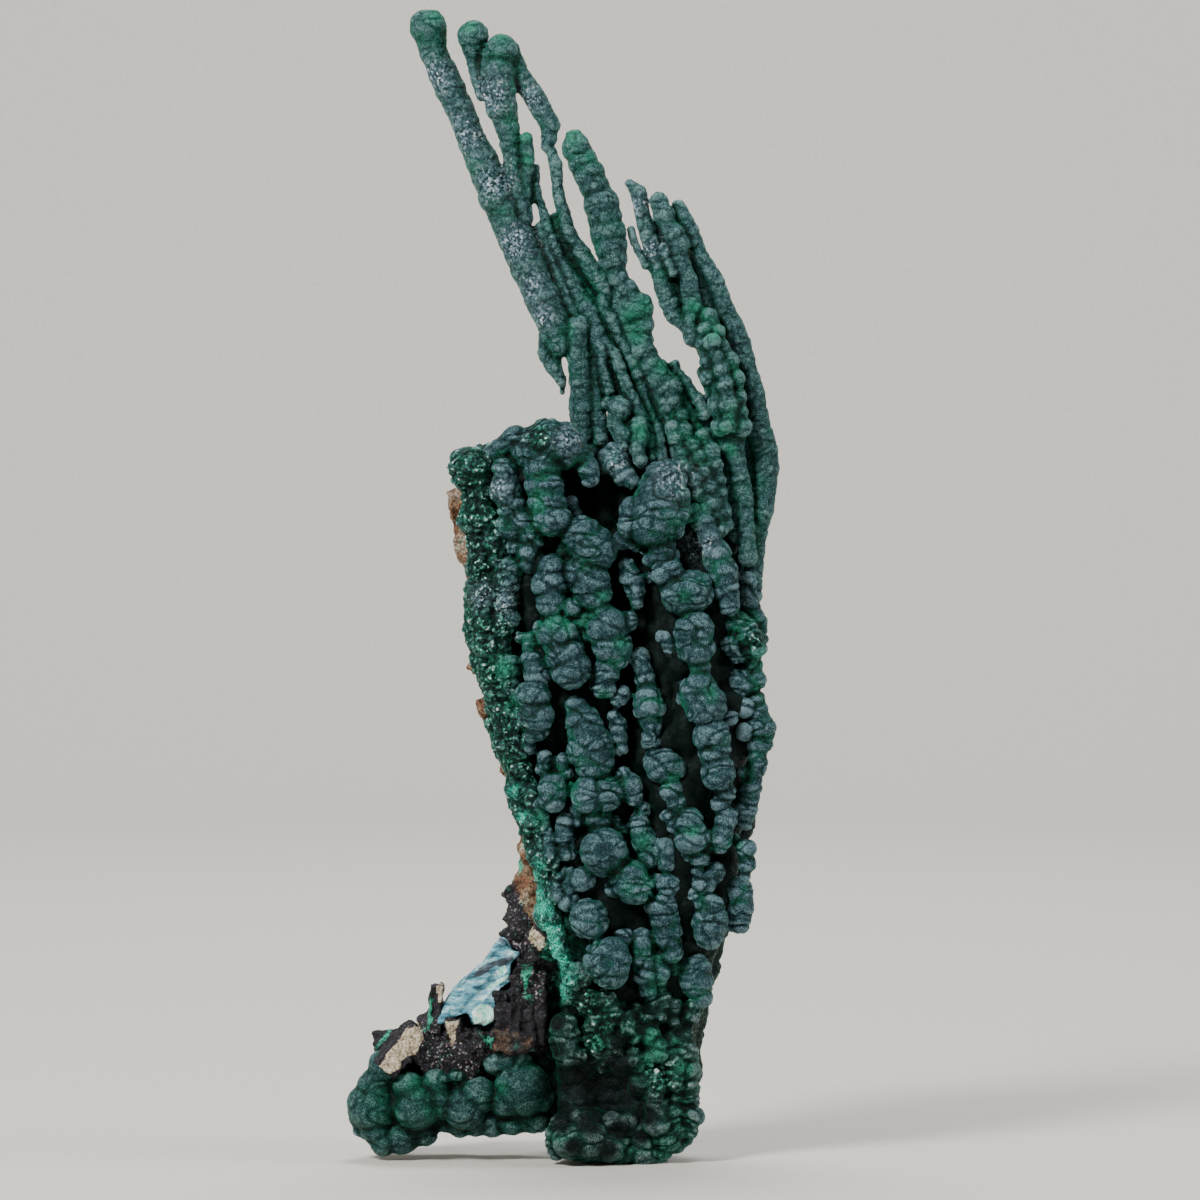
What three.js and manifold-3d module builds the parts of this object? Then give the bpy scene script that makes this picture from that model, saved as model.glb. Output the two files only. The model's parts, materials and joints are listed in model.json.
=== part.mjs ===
// Stalactitic malachite on its host rock, standing on its lowest lumps and a foot.
// Millimetres, +Z up, front towards -Y. The origin is in the middle of the flat rest of the base.
import * as THREE from 'three';
import { mergeVertices } from 'three/addons/utils/BufferGeometryUtils.js';
import Module from 'manifold-3d';

const wasm = await Module();
wasm.setup();

// Driving dimensions
const GAP = 0.3; // clearance between two minerals that touch
const NECK_SHARE = 0.55; // thinnest neck between two knobs, as a share of the smaller knob
const NECK_SHOWS = 0.85; // a neck wider than this share of the knob gets no ring of its own
const NECK_FROM = 5.1; // knobs under this radius run into each other without a neck
const LUMP_SHARE = 0.07; // unevenness of a stalactite's skin, as a share of its radius
const LEDGE_SHARE = 0.2; // unevenness of the rock's ledges, as a share of its radius
const CAP_FROM = 4.8; // knobs over this radius end in a rounded cap, smaller ones in a point
const CAP_SHARE = 0.68; // place and width of the cap's ring, as a share of the knob's radius
const POINT_SHARE = 0.9; // how far a point stands past its knob's centre, the same way
const THIN = 2.85; // a column whose widest knob is under this radius has four sides
const THICK = 6.3; // and one whose widest knob is over this one has six
const TRUNK_SIDES = 7;
const SAME_POINT = 1e-4; // corners closer than this are one corner
const VIEW_DISTANCE = 1300; // places are read on the plane y = 0 from this far in front
const VIEW_HEIGHT = 157;
const REST_LIMIT = 400; // half width of the block that trims the rest flat
const REST_DEPTH = 60;
const SLAB_THICK = 11; // chrysocolla
const SLAB_FRONT = 5; // how far the slab's face stands in front of y = 0
const SLAB_BEVEL = 1.6;

// A column is [depth of its first knob, depth of its last knob, [x, z, radius], ...].
const WING_LEFT = [
  [7, 2, [-51.5, 317, 5.2], [-50, 310, 4], [-47.5, 305, 4.3], [-45, 300, 4.4], [-41.8, 292.5, 3.9],
    [-38.8, 285, 4.3], [-36.3, 280, 4.8], [-33.4, 271, 5.2]],
  [3, 0, [-30.2, 266, 5.2], [-26.5, 258, 5.6], [-23, 250, 5.6], [-19.6, 242, 5.4], [-16.5, 235, 5.2],
    [-15.4, 229, 4.4], [-16.8, 224, 3]],
  [3, 1, [-39, 315, 4.5], [-38.5, 308, 2.5], [-37.8, 303.5, 2.4], [-35.6, 299, 2.8]],
  [0, 1, [-31, 311, 4.5], [-32, 304, 4.9], [-31.4, 297, 5], [-30.5, 290, 4.8], [-28.8, 282, 3.7],
    [-27.5, 275, 3], [-25.4, 265, 2.9]],
  [-1, 1, [-23.8, 286, 2.3], [-24, 276, 1.7], [-23.5, 264, 1.9]],
  [2, -1, [-21.8, 278, 1.5], [-20.8, 270, 1.5], [-18, 260, 1.9], [-13.5, 251, 2.1], [-9, 241, 2.6],
    [-4.5, 232, 2.8], [-2.8, 227, 2.4], [-2.4, 221, 1.9], [-0.5, 215, 2.2]],
  [1, -1, [-20.5, 262, 1.5], [-16.3, 251, 1.7], [-12.4, 242, 1.8], [-8, 231, 1.8]],
  [3, 2, [-28, 309, 2.6], [-25, 302, 3], [-21.5, 298, 2.6], [-20, 294, 3], [-17.5, 290, 3],
    [-18.4, 285, 2]],
  [2, 1, [-17.4, 283.5, 1.6], [-15.5, 275, 1.8], [-14.6, 268, 2], [-12, 260, 2.3], [-8.5, 254, 2.9],
    [-5, 248.5, 2.9], [-2.2, 243.5, 2.2], [-2, 237, 1.9], [0, 235, 2.2], [2.5, 230, 2.1],
    [5.5, 224.5, 2.3], [8, 218.5, 2.3]],
  [0, -3, [8, 217, 2], [10.5, 210, 1.9], [13, 203, 1.7], [14, 197, 1.8]],
  [1, -2, [9, 218, 2], [12.5, 213, 1.9], [15.5, 205, 2], [18, 197, 1.8], [21.5, 186, 1.5]],
  [-1, -3, [-4, 231, 1.9], [1, 224.5, 1.9], [5, 215, 2], [8.8, 207.5, 2], [10.7, 200, 2.1]],
  [-2, -5, [-9.6, 233, 3.2], [-9.4, 222, 3.3], [-8.7, 211, 3.4], [-8.2, 199, 3.4]],
  [-2, -5, [1, 213.5, 3], [2.8, 208.5, 3.4], [1.2, 205.2, 3], [3, 200.5, 2.2]],
  [-4, -6, [7.2, 206, 3], [6.6, 202, 2.8], [7.5, 196.5, 2.4]],
];

const WING_MIDDLE = [
  [4, -4, [-10.4, 284.5, 4.3], [-6, 275, 4.9], [-3, 268, 5.2], [-1.5, 260, 5.3], [0.2, 252.5, 4.2],
    [3.4, 245.5, 3], [7, 239, 4.6], [8.6, 232, 3.2], [9.4, 227.5, 2.6], [13, 222, 3],
    [15.6, 216, 3.5], [18.4, 209.5, 3.2], [21, 204, 2.7], [23.6, 199, 2.5], [25.2, 193.5, 2.6],
    [25.8, 187.5, 2.4], [28, 182, 2.3]],
  [-5, -5, [20.6, 203.6, 2.4], [25.4, 202.4, 2.6], [28.8, 198.6, 2.4], [30.8, 193, 2.3],
    [31.4, 187.5, 2.4], [32.4, 180.5, 2.3]],
];

const WING_RIGHT = [
  [6, 1, [5.2, 272.8, 1.7], [7.8, 269, 2.6], [9.8, 260, 2.6], [12.4, 251, 2.7], [14.4, 244.5, 2.9],
    [17.2, 237, 2.9], [20, 234.4, 2.4]],
  [3, 0, [13, 269, 2.6], [14.6, 264.5, 3], [18.2, 258.5, 3], [18.8, 252.5, 2.8], [21.4, 246.5, 2.9],
    [22.4, 240, 2.9], [21.8, 234, 2.8], [23.6, 230.5, 3]],
  [5, 2, [18.5, 267.2, 2], [22, 260, 2.6], [24.6, 253.5, 2.6], [28.2, 247.5, 2.7], [31.4, 240, 2.8],
    [34.6, 232, 2.9], [37.4, 223.5, 2.9], [40, 214.5, 2.9], [42.2, 204.5, 3.1], [44, 195, 3.2],
    [43.2, 187.5, 3.1], [41.4, 177.5, 3], [39.8, 168, 2.9], [39.2, 159.5, 2.7]],
  [0, -2, [27, 236.5, 2.9], [27.6, 229, 2.9], [30.4, 222.6, 3.5], [33.6, 218.4, 3.1],
    [33.8, 211, 3.4], [34.2, 203.5, 3.3], [35.4, 195, 3], [36.8, 185.5, 2.9], [37.4, 176, 2.8],
    [37.6, 168, 2.8]],
];

// Trunks behind the columns, from which the columns hang
const TRUNKS = [
  [5, 4, [-20, 186, 14], [-17, 160, 18.5], [-12, 130, 19], [-6, 100, 19], [-1, 70, 18],
    [1, 40, 15], [5, 4, 12.5]],
  [5, 5, [12, 184, 14], [19, 160, 18.5], [21, 130, 20], [20, 98, 20], [18, 76, 18.5], [12, 40, 14]],
];

// Columns and knobs of the front, from the top left to the base
const FRONT = [
  [-11, -11, [-39.8, 190.5, 6], [-37.6, 180, 5], [-36.4, 168, 5], [-35.4, 155, 4.6], [-33.6, 141, 5],
    [-31.6, 127, 4.6], [-29, 112, 4.6], [-25, 98, 3.8], [-20.4, 84, 4.2], [-16.4, 72, 4.2]],
  [-11, -11, [-30.5, 199.4, 3.6], [-24, 201, 5], [-17.2, 200.6, 7], [-11.4, 200, 5.8], [-7, 193, 3.4]],
  [-10, -11, [-31, 194, 4], [-30, 187.5, 4.4], [-27.6, 181, 4.3], [-23, 174.4, 3]],
  [-10, -11, [-18.8, 194, 5], [-18, 187.5, 5], [-16.4, 179.5, 5]],
  [2, -1, [-1.6, 198.4, 3.2], [2.8, 193.2, 4]],
  [-13, -13, [-9.4, 174.4, 5], [-3.6, 172, 5]],
  [-14, -14, [-8, 165.6, 5], [-5.4, 160, 5.2]],
  [-13, -14, [-17.1, 165.5, 4.6], [-17.4, 159, 5.1], [-14.6, 154.8, 4.2]],
  [-14, -14, [-17, 148.4, 5], [-13.4, 142.4, 5.6], [-11.6, 136.4, 5.2]],
  [-14, -14, [-1.8, 149.6, 5.8], [0.4, 144.4, 5.2]],
  [-10, -10, [-28.4, 177, 4], [-23.2, 169, 3.8], [-28.9, 164.6, 4]],
  [-12, -12, [-1.6, 137, 4], [-3.6, 132.6, 3]],
  [-12, -12, [-23.6, 142.6, 2.8], [-21.8, 136, 3.4]],
  [-13, -13, [-22.2, 128.4, 4.8], [-21, 122.4, 4.8]],
  [-11, -13, [-10.4, 127, 3.2], [-7.8, 121.6, 5], [-5.4, 114, 6]],
  [-13, -13, [-7.4, 103.4, 4.6], [-1.6, 103.6, 4.8]],
  [-12, -12, [-18.4, 109.6, 3], [-17.2, 103, 4.4]],
  [-12, -12, [4.2, 106, 3.4], [7.4, 98.6, 2.8]],
  [-11, -12, [8.2, 140, 2.8], [10.8, 129, 4.2], [11, 119, 2.8], [14.6, 110.4, 4.9]],
  [-11, -12, [16.4, 103.4, 3.2], [18.2, 98, 3.2]],
  [-11, -12, [22, 94, 3.8], [23.2, 87.4, 4.4]],
  [-13, -13, [18.2, 159.4, 4.8], [23.6, 158.6, 5.2]],
  [-13, -13, [21.8, 147.4, 5], [25.4, 145.4, 4.8]],
  [-13, -13, [23.4, 133, 4.2], [26.4, 129, 5.2]],
  [-13, -12, [28.4, 117.4, 4.4], [30, 108.4, 5.2], [31.8, 96, 3.6], [30.2, 88.4, 3.4]],
  [-12, -12, [9.4, 92.4, 3.4], [10.8, 85.6, 3]],
  [-14, -14, [-4, 86.4, 5.8], [0.2, 87.2, 5.6]],
  [-13, -13, [6.8, 80, 4.8], [2.6, 77.2, 4.2]],
  [-13, -13, [-6.4, 69, 5], [-5.2, 65.4, 4.8]],
  [-13, -13, [-3.4, 57, 5.2], [1, 56.6, 5.1]],
  [-5, -5, [8.4, 60.6, 3.4], [10.2, 54, 3.1], [11.4, 46, 3.6]],
  [-11, -11, [15.4, 76.4, 3.6], [15.2, 68.4, 4], [17.6, 60.6, 3.4]],
  [-11, -11, [-13.4, 94, 3], [-12, 86, 3], [-9.8, 77.4, 3.8]],
  [2, 2, [36.6, 85.4, 4], [36.2, 75.4, 4], [35.4, 67.4, 3.2]],
  [-5, -5, [29.4, 81.4, 3.8], [27.6, 73, 3.4], [28.4, 65.4, 4]],
  [0, -2, [24.2, 54.4, 4.4], [24.8, 46.6, 2.8]],
];

// The cluster in front of the forks and the columns of the right edge
const RIGHT = [
  [-10, -11, [14.4, 192, 5.6], [11, 186.4, 5.2], [8.6, 178.8, 5.8]],
  [-10, -11, [17.8, 189.4, 4.6], [15.6, 181, 4.4], [15.2, 168, 4.8]],
  [-7, -10, [23.4, 180.4, 3], [28.6, 171.4, 3.9], [32.2, 165.6, 4.2], [33, 157.6, 3.5],
    [36.6, 148.6, 4.2]],
  [-3, -3, [37.8, 162, 3], [39.2, 153.6, 3], [41, 145.6, 3.2], [40, 138.4, 2.6]],
  [-5, -5, [33.6, 143.6, 3.2], [36.4, 133.6, 3.8], [41, 134, 3.2]],
  [-3, -3, [40.8, 127, 3.4], [41.8, 120.6, 4.4], [41.4, 113.4, 3.8], [39.4, 106, 3.2], [38, 98.4, 3.2]],
];

const BASE = [
  [-11, -11, [4, 36.4, 4.2], [5.6, 27.4, 3.4]],
  [-8, -9, [13.4, 40.4, 3.4], [12, 31, 4.8], [12.4, 20, 5], [13.6, 10.6, 5.2]],
  [-6, -6, [18.8, 38, 3.6], [18, 26, 4.4], [18.6, 15.6, 4.8], [15.6, 6, 4.8]],
  [1, 1, [21, 35, 2.8], [20.8, 21, 3.8]],
  [-12, -11, [-13, 37.6, 4.2], [-11.4, 30.2, 3.6]],
  [-10, -10, [-9, 49.6, 5.4], [-6.4, 40, 5.6], [-1.6, 30.6, 4.4]],
  [-12, -9, [-11.8, 5.2, 5.2], [-2.4, 4.4, 5.4]],
  [-3, -3, [-8.5, 6, 6.4], [8, 3.5, 8]],
];

// The hidden back, from the right edge round to the rock wall
const BACK = [
  [16, 14, [36, 175, 5.6], [36.6, 163, 5.8], [36, 152, 5]],
  [23, 22, [24, 186, 6], [25.6, 172, 7], [25, 157, 5.6]],
  [22, 23, [6, 193, 7], [8, 178, 8], [6.6, 164, 6.6]],
  [15, 13, [36.4, 138, 5.2], [37, 125, 5.6], [35.6, 112, 4.8]],
  [24, 24, [26, 146, 6.4], [26.6, 130, 7.6], [25.6, 115, 6]],
  [24, 24, [9, 154, 7], [10, 137, 8], [9, 121, 6.6]],
  [12, 9, [33, 99, 5.2], [32, 87, 5.4], [30.6, 77, 4.4]],
  [21, 19, [20, 106, 6.6], [20.6, 91, 7], [19.6, 77, 5.6]],
  [23, 22, [4, 110, 7], [4, 94, 7.6], [4, 79, 6.4]],
  [18, 15, [13, 68, 6.4], [12.6, 54, 6.6], [12.4, 41, 5.6]],
  [16, 13, [8, 34, 7], [7, 19, 7.4], [5, 5, 7.4]],
];

// Host rock: the wall from its left edge round to the back, and the core of the foot
const ROCK = [
  [3, 3, [-41, 182, 5.8], [-39, 170, 5.4], [-35.2, 156, 5], [-34, 142, 6], [-31, 126, 5.4],
    [-28, 112, 6], [-25, 100, 5.2], [-22.8, 84, 6.4], [-23.6, 72, 5.6], [-24.8, 62, 6.8]],
  [15, 14, [-31, 188, 6.5], [-34, 174, 9.5], [-28, 158, 8], [-28.6, 142, 10.4], [-22, 124, 8.4],
    [-22, 108, 10.6], [-16, 90, 8.6], [-20, 72, 10.4], [-17, 50, 8.6]],
  [22, 22, [-19, 193, 6], [-14, 180, 10.4], [-16, 160, 8.2], [-10, 142, 11], [-12, 122, 8.4],
    [-6, 102, 10.8], [-10, 82, 8.4], [-6, 62, 10.4], [-10, 42, 8], [-7, 26, 5]],
  [6, 9, [-23, 56, 8.4], [-31, 45, 9.4], [-45, 33.4, 9.8], [-58.6, 29.6, 8.2]],
  [6, 13, [-25.6, 42, 8], [-38, 36, 9.4], [-52, 29, 9]],
];

// Green lumps round and under the foot
const FOOT = [
  [3, 5, [-66.8, 26.4, 5], [-67.4, 14, 7], [-62.6, 5, 5.8]],
  [0, 1, [-53.6, 16, 7.2], [-56, 7.6, 5.8]],
  [3, 4, [-60.6, 19.6, 6.6], [-46, 18.8, 7], [-38, 18, 6.8], [-26.6, 20, 7]],
  [-1, -1, [-38.4, 16.6, 5.8], [-25, 20.6, 5.6]],
  [-1, 0, [-33.8, 27.6, 4.8], [-22.8, 18.4, 5]],
  [11, 11, [-60, 17.6, 8], [-44, 14.6, 8.4], [-28, 16.6, 7.6]],
];

const ROCK_FORM = { sides: 5, rough: LEDGE_SHARE, necks: false };

// Outline of the chrysocolla slab in x and z
const SLAB = [
  [-47.6, 44], [-45.6, 48.4], [-41, 53.4], [-36, 57], [-33.5, 60.4], [-31.2, 62.2], [-29.4, 61.2],
  [-28.4, 56.6], [-28, 50.6], [-31, 47.4], [-33, 44.4], [-33, 40.6], [-35, 38.8], [-39, 38.6],
  [-40.2, 41.4], [-44, 40.4], [-48.4, 40.2],
];

// Blocks of rock fused to the host rock: centre, size and turns about y and x, in degrees
const BLOCKS = [
  { at: [-49.6, 2, 42.6], size: [4.6, 7, 14], turn: [4, 0] },
  { at: [-44.2, -2.4, 35.8], size: [4, 6, 7.6], turn: [12, 10] },
  { at: [-20.6, -5.5, 63], size: [5.4, 7, 8], turn: [-24, 14] },
  { at: [-36.4, -2, 34.4], size: [5, 7, 5], turn: [30, 20] },
  { at: [-58.6, 3, 33.4], size: [13, 9, 6.4], turn: [-42, 0] },
];

// Strides of the wave that scatters the unevenness of the skin
const SCATTER = { x: 12.9898, y: 78.233, z: 37.719, height: 43758.5453 };

// A repeatable number from -1 to 1 for a place in space
function unevenness(x, y, z) {
  const wave = SCATTER.height * Math.sin(x * SCATTER.x + y * SCATTER.y + z * SCATTER.z);
  return 2 * (wave - Math.floor(wave)) - 1;
}

// A place read on the plane y = 0 is carried along its line of sight to its own depth.
function placeAtDepth(x, z, depth) {
  const spread = 1 + depth / VIEW_DISTANCE;
  return new THREE.Vector3(x * spread, depth, VIEW_HEIGHT + (z - VIEW_HEIGHT) * spread);
}

function toKnobs([firstDepth, lastDepth, ...knobs]) {
  const last = Math.max(knobs.length - 1, 1);
  return knobs.map(([x, z, radius], i) => ({
    centre: placeAtDepth(x, z, firstDepth + ((lastDepth - firstDepth) * i) / last),
    radius,
  }));
}

// The ring where two knobs meet, or null where it would hardly show
function neckBetween(a, b) {
  const reach = a.centre.distanceTo(b.centre);
  const along = (reach * reach + a.radius * a.radius - b.radius * b.radius) / (2 * reach);
  if (along <= 0 || along >= reach) return null;
  const smaller = Math.min(a.radius, b.radius);
  if (smaller < NECK_FROM) return null;
  const narrow = Math.sqrt(Math.max(a.radius * a.radius - along * along, 0));
  const radius = Math.max(narrow, NECK_SHARE * smaller);
  if (radius > NECK_SHOWS * smaller) return null;
  return { centre: a.centre.clone().lerp(b.centre, along / reach), radius };
}

function capRings(knob, outward) {
  if (knob.radius < CAP_FROM) {
    const tip = knob.centre.clone().addScaledVector(outward, POINT_SHARE * knob.radius);
    return { ring: null, tip };
  }
  const ring = {
    centre: knob.centre.clone().addScaledVector(outward, CAP_SHARE * knob.radius),
    radius: CAP_SHARE * knob.radius,
  };
  return { ring, tip: knob.centre.clone().addScaledVector(outward, knob.radius) };
}

// A sphere stretched along a row of knobs: its poles are the two tips, its parallels the rings.
function knobbyColumn(column, { sides, rough = LUMP_SHARE, necks = true, grow = 0 }) {
  const knobs = toKnobs(column);
  const last = knobs.length - 1;
  const heading = (i) => knobs[Math.min(i + 1, last)].centre.clone()
    .sub(knobs[Math.max(i - 1, 0)].centre).normalize();
  const start = capRings(knobs[0], heading(0).negate());
  const end = capRings(knobs[last], heading(last));
  const rings = [];
  if (start.ring) rings.push(start.ring);
  knobs.forEach((knob, i) => {
    rings.push(knob);
    const neck = necks && i < last ? neckBetween(knob, knobs[i + 1]) : null;
    if (neck) rings.push(neck);
  });
  if (end.ring) rings.push(end.ring);

  const geometry = new THREE.SphereGeometry(1, sides, rings.length + 1);
  const position = geometry.getAttribute('position');
  const points = [start.tip, ...rings.map((ring) => ring.centre), end.tip];
  const depthAxis = new THREE.Vector3(0, 1, 0);
  for (let row = 0; row < points.length; row += 1) {
    const before = points[Math.max(row - 1, 0)];
    const after = points[Math.min(row + 1, points.length - 1)];
    const up = before.clone().sub(after).normalize();
    const side = new THREE.Vector3().crossVectors(up, depthAxis).normalize();
    const front = new THREE.Vector3().crossVectors(side, up);
    const isTip = row === 0 || row === points.length - 1;
    const tipGrowth = row === 0 ? grow : -grow;
    for (let step = 0; step <= sides; step += 1) {
      const vertex = points[row].clone();
      if (isTip) {
        vertex.addScaledVector(up, tipGrowth);
      } else {
        const angle = (2 * Math.PI * (step % sides)) / sides;
        const seed = unevenness(points[row].x + step % sides, points[row].y, points[row].z);
        const radius = rings[row - 1].radius * (1 + rough * seed) + grow;
        vertex.addScaledVector(side, -radius * Math.cos(angle));
        vertex.addScaledVector(front, radius * Math.sin(angle));
      }
      position.setXYZ(row * (sides + 1) + step, vertex.x, vertex.y, vertex.z);
    }
  }
  return toSolid(geometry);
}

function toSolid(geometry) {
  const bare = geometry.clone();
  bare.deleteAttribute('normal');
  bare.deleteAttribute('uv');
  const merged = mergeVertices(bare, SAME_POINT);
  return new wasm.Manifold(new wasm.Mesh({
    numProp: 3,
    vertProperties: new Float32Array(merged.getAttribute('position').array),
    triVerts: new Uint32Array(merged.index.array),
  }));
}

function joinAll(solids) {
  return solids.reduce((joined, solid) => joined.add(solid));
}

function sidesFor(column) {
  const widest = Math.max(...column.slice(2).map((knob) => knob[2]));
  if (widest < THIN) return 4;
  return widest < THICK ? 5 : 6;
}

function growth(columns, grow = 0) {
  return joinAll(columns.map((column) => knobbyColumn(column, { sides: sidesFor(column), grow })));
}

function trunks(grow = 0) {
  const form = { sides: TRUNK_SIDES, necks: false, grow };
  return joinAll(TRUNKS.map((column) => knobbyColumn(column, form)));
}

function wholeBody(grow = 0) {
  return trunks(grow).add(growth([...FRONT, ...RIGHT, ...BASE, ...BACK], grow));
}

function turnedBlock({ at, size, turn }, grow) {
  const block = new THREE.BoxGeometry(...size.map((edge) => edge + 2 * grow));
  block.rotateX(THREE.MathUtils.degToRad(turn[1]));
  block.rotateY(THREE.MathUtils.degToRad(turn[0]));
  block.translate(...at);
  return toSolid(block);
}

function hostRock(grow = 0) {
  const ledges = ROCK.map((column) => knobbyColumn(column, { ...ROCK_FORM, grow }));
  return joinAll([...ledges, ...BLOCKS.map((block) => turnedBlock(block, grow))]);
}

function chrysocollaSlab(grow = 0) {
  const outline = new THREE.Shape(SLAB.map(([x, z]) => new THREE.Vector2(x, z)));
  const slab = new THREE.ExtrudeGeometry(outline, {
    depth: SLAB_THICK - 2 * SLAB_BEVEL,
    bevelThickness: SLAB_BEVEL + grow,
    bevelSize: grow,
    bevelOffset: 0,
    bevelSegments: 1,
  });
  slab.rotateX(Math.PI / 2);
  slab.translate(0, SLAB_THICK - SLAB_BEVEL - SLAB_FRONT, 0);
  return toSolid(slab);
}

// Everything below the plane that the specimen stands on
function belowRest() {
  const block = new THREE.BoxGeometry(2 * REST_LIMIT, 2 * REST_LIMIT, REST_DEPTH);
  block.translate(0, 0, -REST_DEPTH / 2);
  return toSolid(block);
}

const rock = hostRock();
const rockClear = hostRock(GAP);
const body = wholeBody().subtract(rockClear).subtract(belowRest());
const bodyClear = wholeBody(GAP);
const slab = chrysocollaSlab().subtract(rockClear).subtract(bodyClear);
const slabClear = chrysocollaSlab(GAP);
const foot = growth(FOOT).subtract(rockClear).subtract(bodyClear).subtract(slabClear)
  .subtract(belowRest());
const wingLeft = growth(WING_LEFT).subtract(bodyClear);
const wingMiddle = growth(WING_MIDDLE).subtract(bodyClear).subtract(growth(WING_LEFT, GAP));
const wingRight = growth(WING_RIGHT).subtract(bodyClear).subtract(growth(WING_MIDDLE, GAP));

function addPiece(group, name, solid, { color, roughness }) {
  const { vertProperties, triVerts } = solid.getMesh();
  const geometry = new THREE.BufferGeometry();
  geometry.setAttribute('position', new THREE.BufferAttribute(vertProperties, 3));
  geometry.setIndex(new THREE.BufferAttribute(triVerts, 1));
  const material = new THREE.MeshStandardMaterial({ color, roughness, metalness: 0, flatShading: true });
  const mesh = new THREE.Mesh(geometry, material);
  mesh.name = name;
  group.add(mesh);
}

const MALACHITE = { color: 0x2f5a50, roughness: 0.75 };
const specimen = new THREE.Group();
addPiece(specimen, 'host_rock', rock, { color: 0x8a6a50, roughness: 0.9 });
addPiece(specimen, 'chrysocolla_seam', slab, { color: 0x7fb6c4, roughness: 0.6 });
addPiece(specimen, 'foot_malachite', foot, MALACHITE);
addPiece(specimen, 'malachite_body', body, MALACHITE);
addPiece(specimen, 'wing_left', wingLeft, MALACHITE);
addPiece(specimen, 'wing_middle', wingMiddle, MALACHITE);
addPiece(specimen, 'wing_right', wingRight, MALACHITE);

export default specimen;
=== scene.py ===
# %% [markdown]
# # Stalactitic malachite on its host rock
#
# The real object is a mineral specimen about 32 cm tall. Copper-rich water dripped down a wall
# of rock, and malachite grew round the drips in knobbly columns, skinned with fine crystals like
# velvet. Thin bent branches rise from its top, and a foot of rock leaves the base on the left,
# with a seam of pale blue chrysocolla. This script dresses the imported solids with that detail.
# It could start from an empty scene, but then nothing would hold it to their size. So the packed
# frame is loaded first. Lengths are written in millimetres unless a comment says otherwise.

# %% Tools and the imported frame
import json
import math

import bpy
import numpy as np
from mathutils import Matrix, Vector

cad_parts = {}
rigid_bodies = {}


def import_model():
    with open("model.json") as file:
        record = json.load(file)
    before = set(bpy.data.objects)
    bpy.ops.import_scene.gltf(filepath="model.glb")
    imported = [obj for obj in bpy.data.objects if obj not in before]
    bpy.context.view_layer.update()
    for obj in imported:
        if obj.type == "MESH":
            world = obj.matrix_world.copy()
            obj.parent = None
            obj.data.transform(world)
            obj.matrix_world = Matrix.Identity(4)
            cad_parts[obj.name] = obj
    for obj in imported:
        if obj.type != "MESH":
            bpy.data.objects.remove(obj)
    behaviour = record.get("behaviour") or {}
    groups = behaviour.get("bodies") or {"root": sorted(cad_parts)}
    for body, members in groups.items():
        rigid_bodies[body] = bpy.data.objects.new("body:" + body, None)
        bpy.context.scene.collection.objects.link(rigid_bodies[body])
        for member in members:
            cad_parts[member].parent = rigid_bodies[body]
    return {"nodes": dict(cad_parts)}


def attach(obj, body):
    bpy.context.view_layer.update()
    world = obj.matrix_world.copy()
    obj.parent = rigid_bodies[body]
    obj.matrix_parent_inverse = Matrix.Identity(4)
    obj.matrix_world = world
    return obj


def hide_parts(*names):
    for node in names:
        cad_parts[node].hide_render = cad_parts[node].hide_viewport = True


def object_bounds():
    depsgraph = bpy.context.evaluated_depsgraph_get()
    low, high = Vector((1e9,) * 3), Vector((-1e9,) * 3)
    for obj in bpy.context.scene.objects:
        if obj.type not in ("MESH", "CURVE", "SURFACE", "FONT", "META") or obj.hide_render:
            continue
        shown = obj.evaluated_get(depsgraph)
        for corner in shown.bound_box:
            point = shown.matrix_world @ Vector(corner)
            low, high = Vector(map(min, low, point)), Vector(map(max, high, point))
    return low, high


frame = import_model()
cad_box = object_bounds()
print("nodes:", sorted(frame["nodes"]))

# %% [markdown]
# The camera comes first, because the places of all knobs were read in its picture. It could stand
# close with a short lens, but then near knobs would look too big. So it looks level at the specimen
# from 1.3 m with a long lens, and the columns keep their true proportions. The lens follows from
# the width of the plane y = 0 that the picture shows.

# %% Camera
MM = 0.001
VIEW_DISTANCE = 1300
VIEW_HEIGHT = 157
VIEW_ASIDE = -3.4
VIEW_WIDTH = 336
SENSOR_WIDTH = 36

camera_data = bpy.data.cameras.new("camera")
camera_data.sensor_width = SENSOR_WIDTH
camera_data.lens = SENSOR_WIDTH * VIEW_DISTANCE / VIEW_WIDTH
camera = bpy.data.objects.new("camera", camera_data)
camera.location = Vector((VIEW_ASIDE, -VIEW_DISTANCE, VIEW_HEIGHT)) * MM
camera.rotation_euler = (math.pi / 2, 0, 0)
bpy.context.scene.collection.objects.link(camera)
bpy.context.scene.camera = camera
print("lens", round(camera_data.lens, 1), "mm")

# %% [markdown]
# Every piece below is a mesh. It could be built face by face with bmesh, but filling it from whole
# numpy arrays is faster, and the shape stays a formula that can be read. Quads of a grid are split
# into triangles, because all skins are fused later and only the triangles' places matter.

# %% Meshes from arrays
def new_mesh(name, points, faces):
    """A mesh from points in millimetres and faces of equal length, set as whole arrays."""
    mesh = bpy.data.meshes.new(name)
    corners = faces.shape[1]
    mesh.vertices.add(len(points))
    mesh.vertices.foreach_set("co", (points * MM).astype(np.float32).ravel())
    mesh.loops.add(faces.size)
    mesh.loops.foreach_set("vertex_index", faces.astype(np.int32).ravel())
    mesh.polygons.add(len(faces))
    mesh.polygons.foreach_set("loop_start", np.arange(0, faces.size, corners, dtype=np.int32))
    mesh.update(calc_edges=True)
    mesh.validate()
    return mesh


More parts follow.
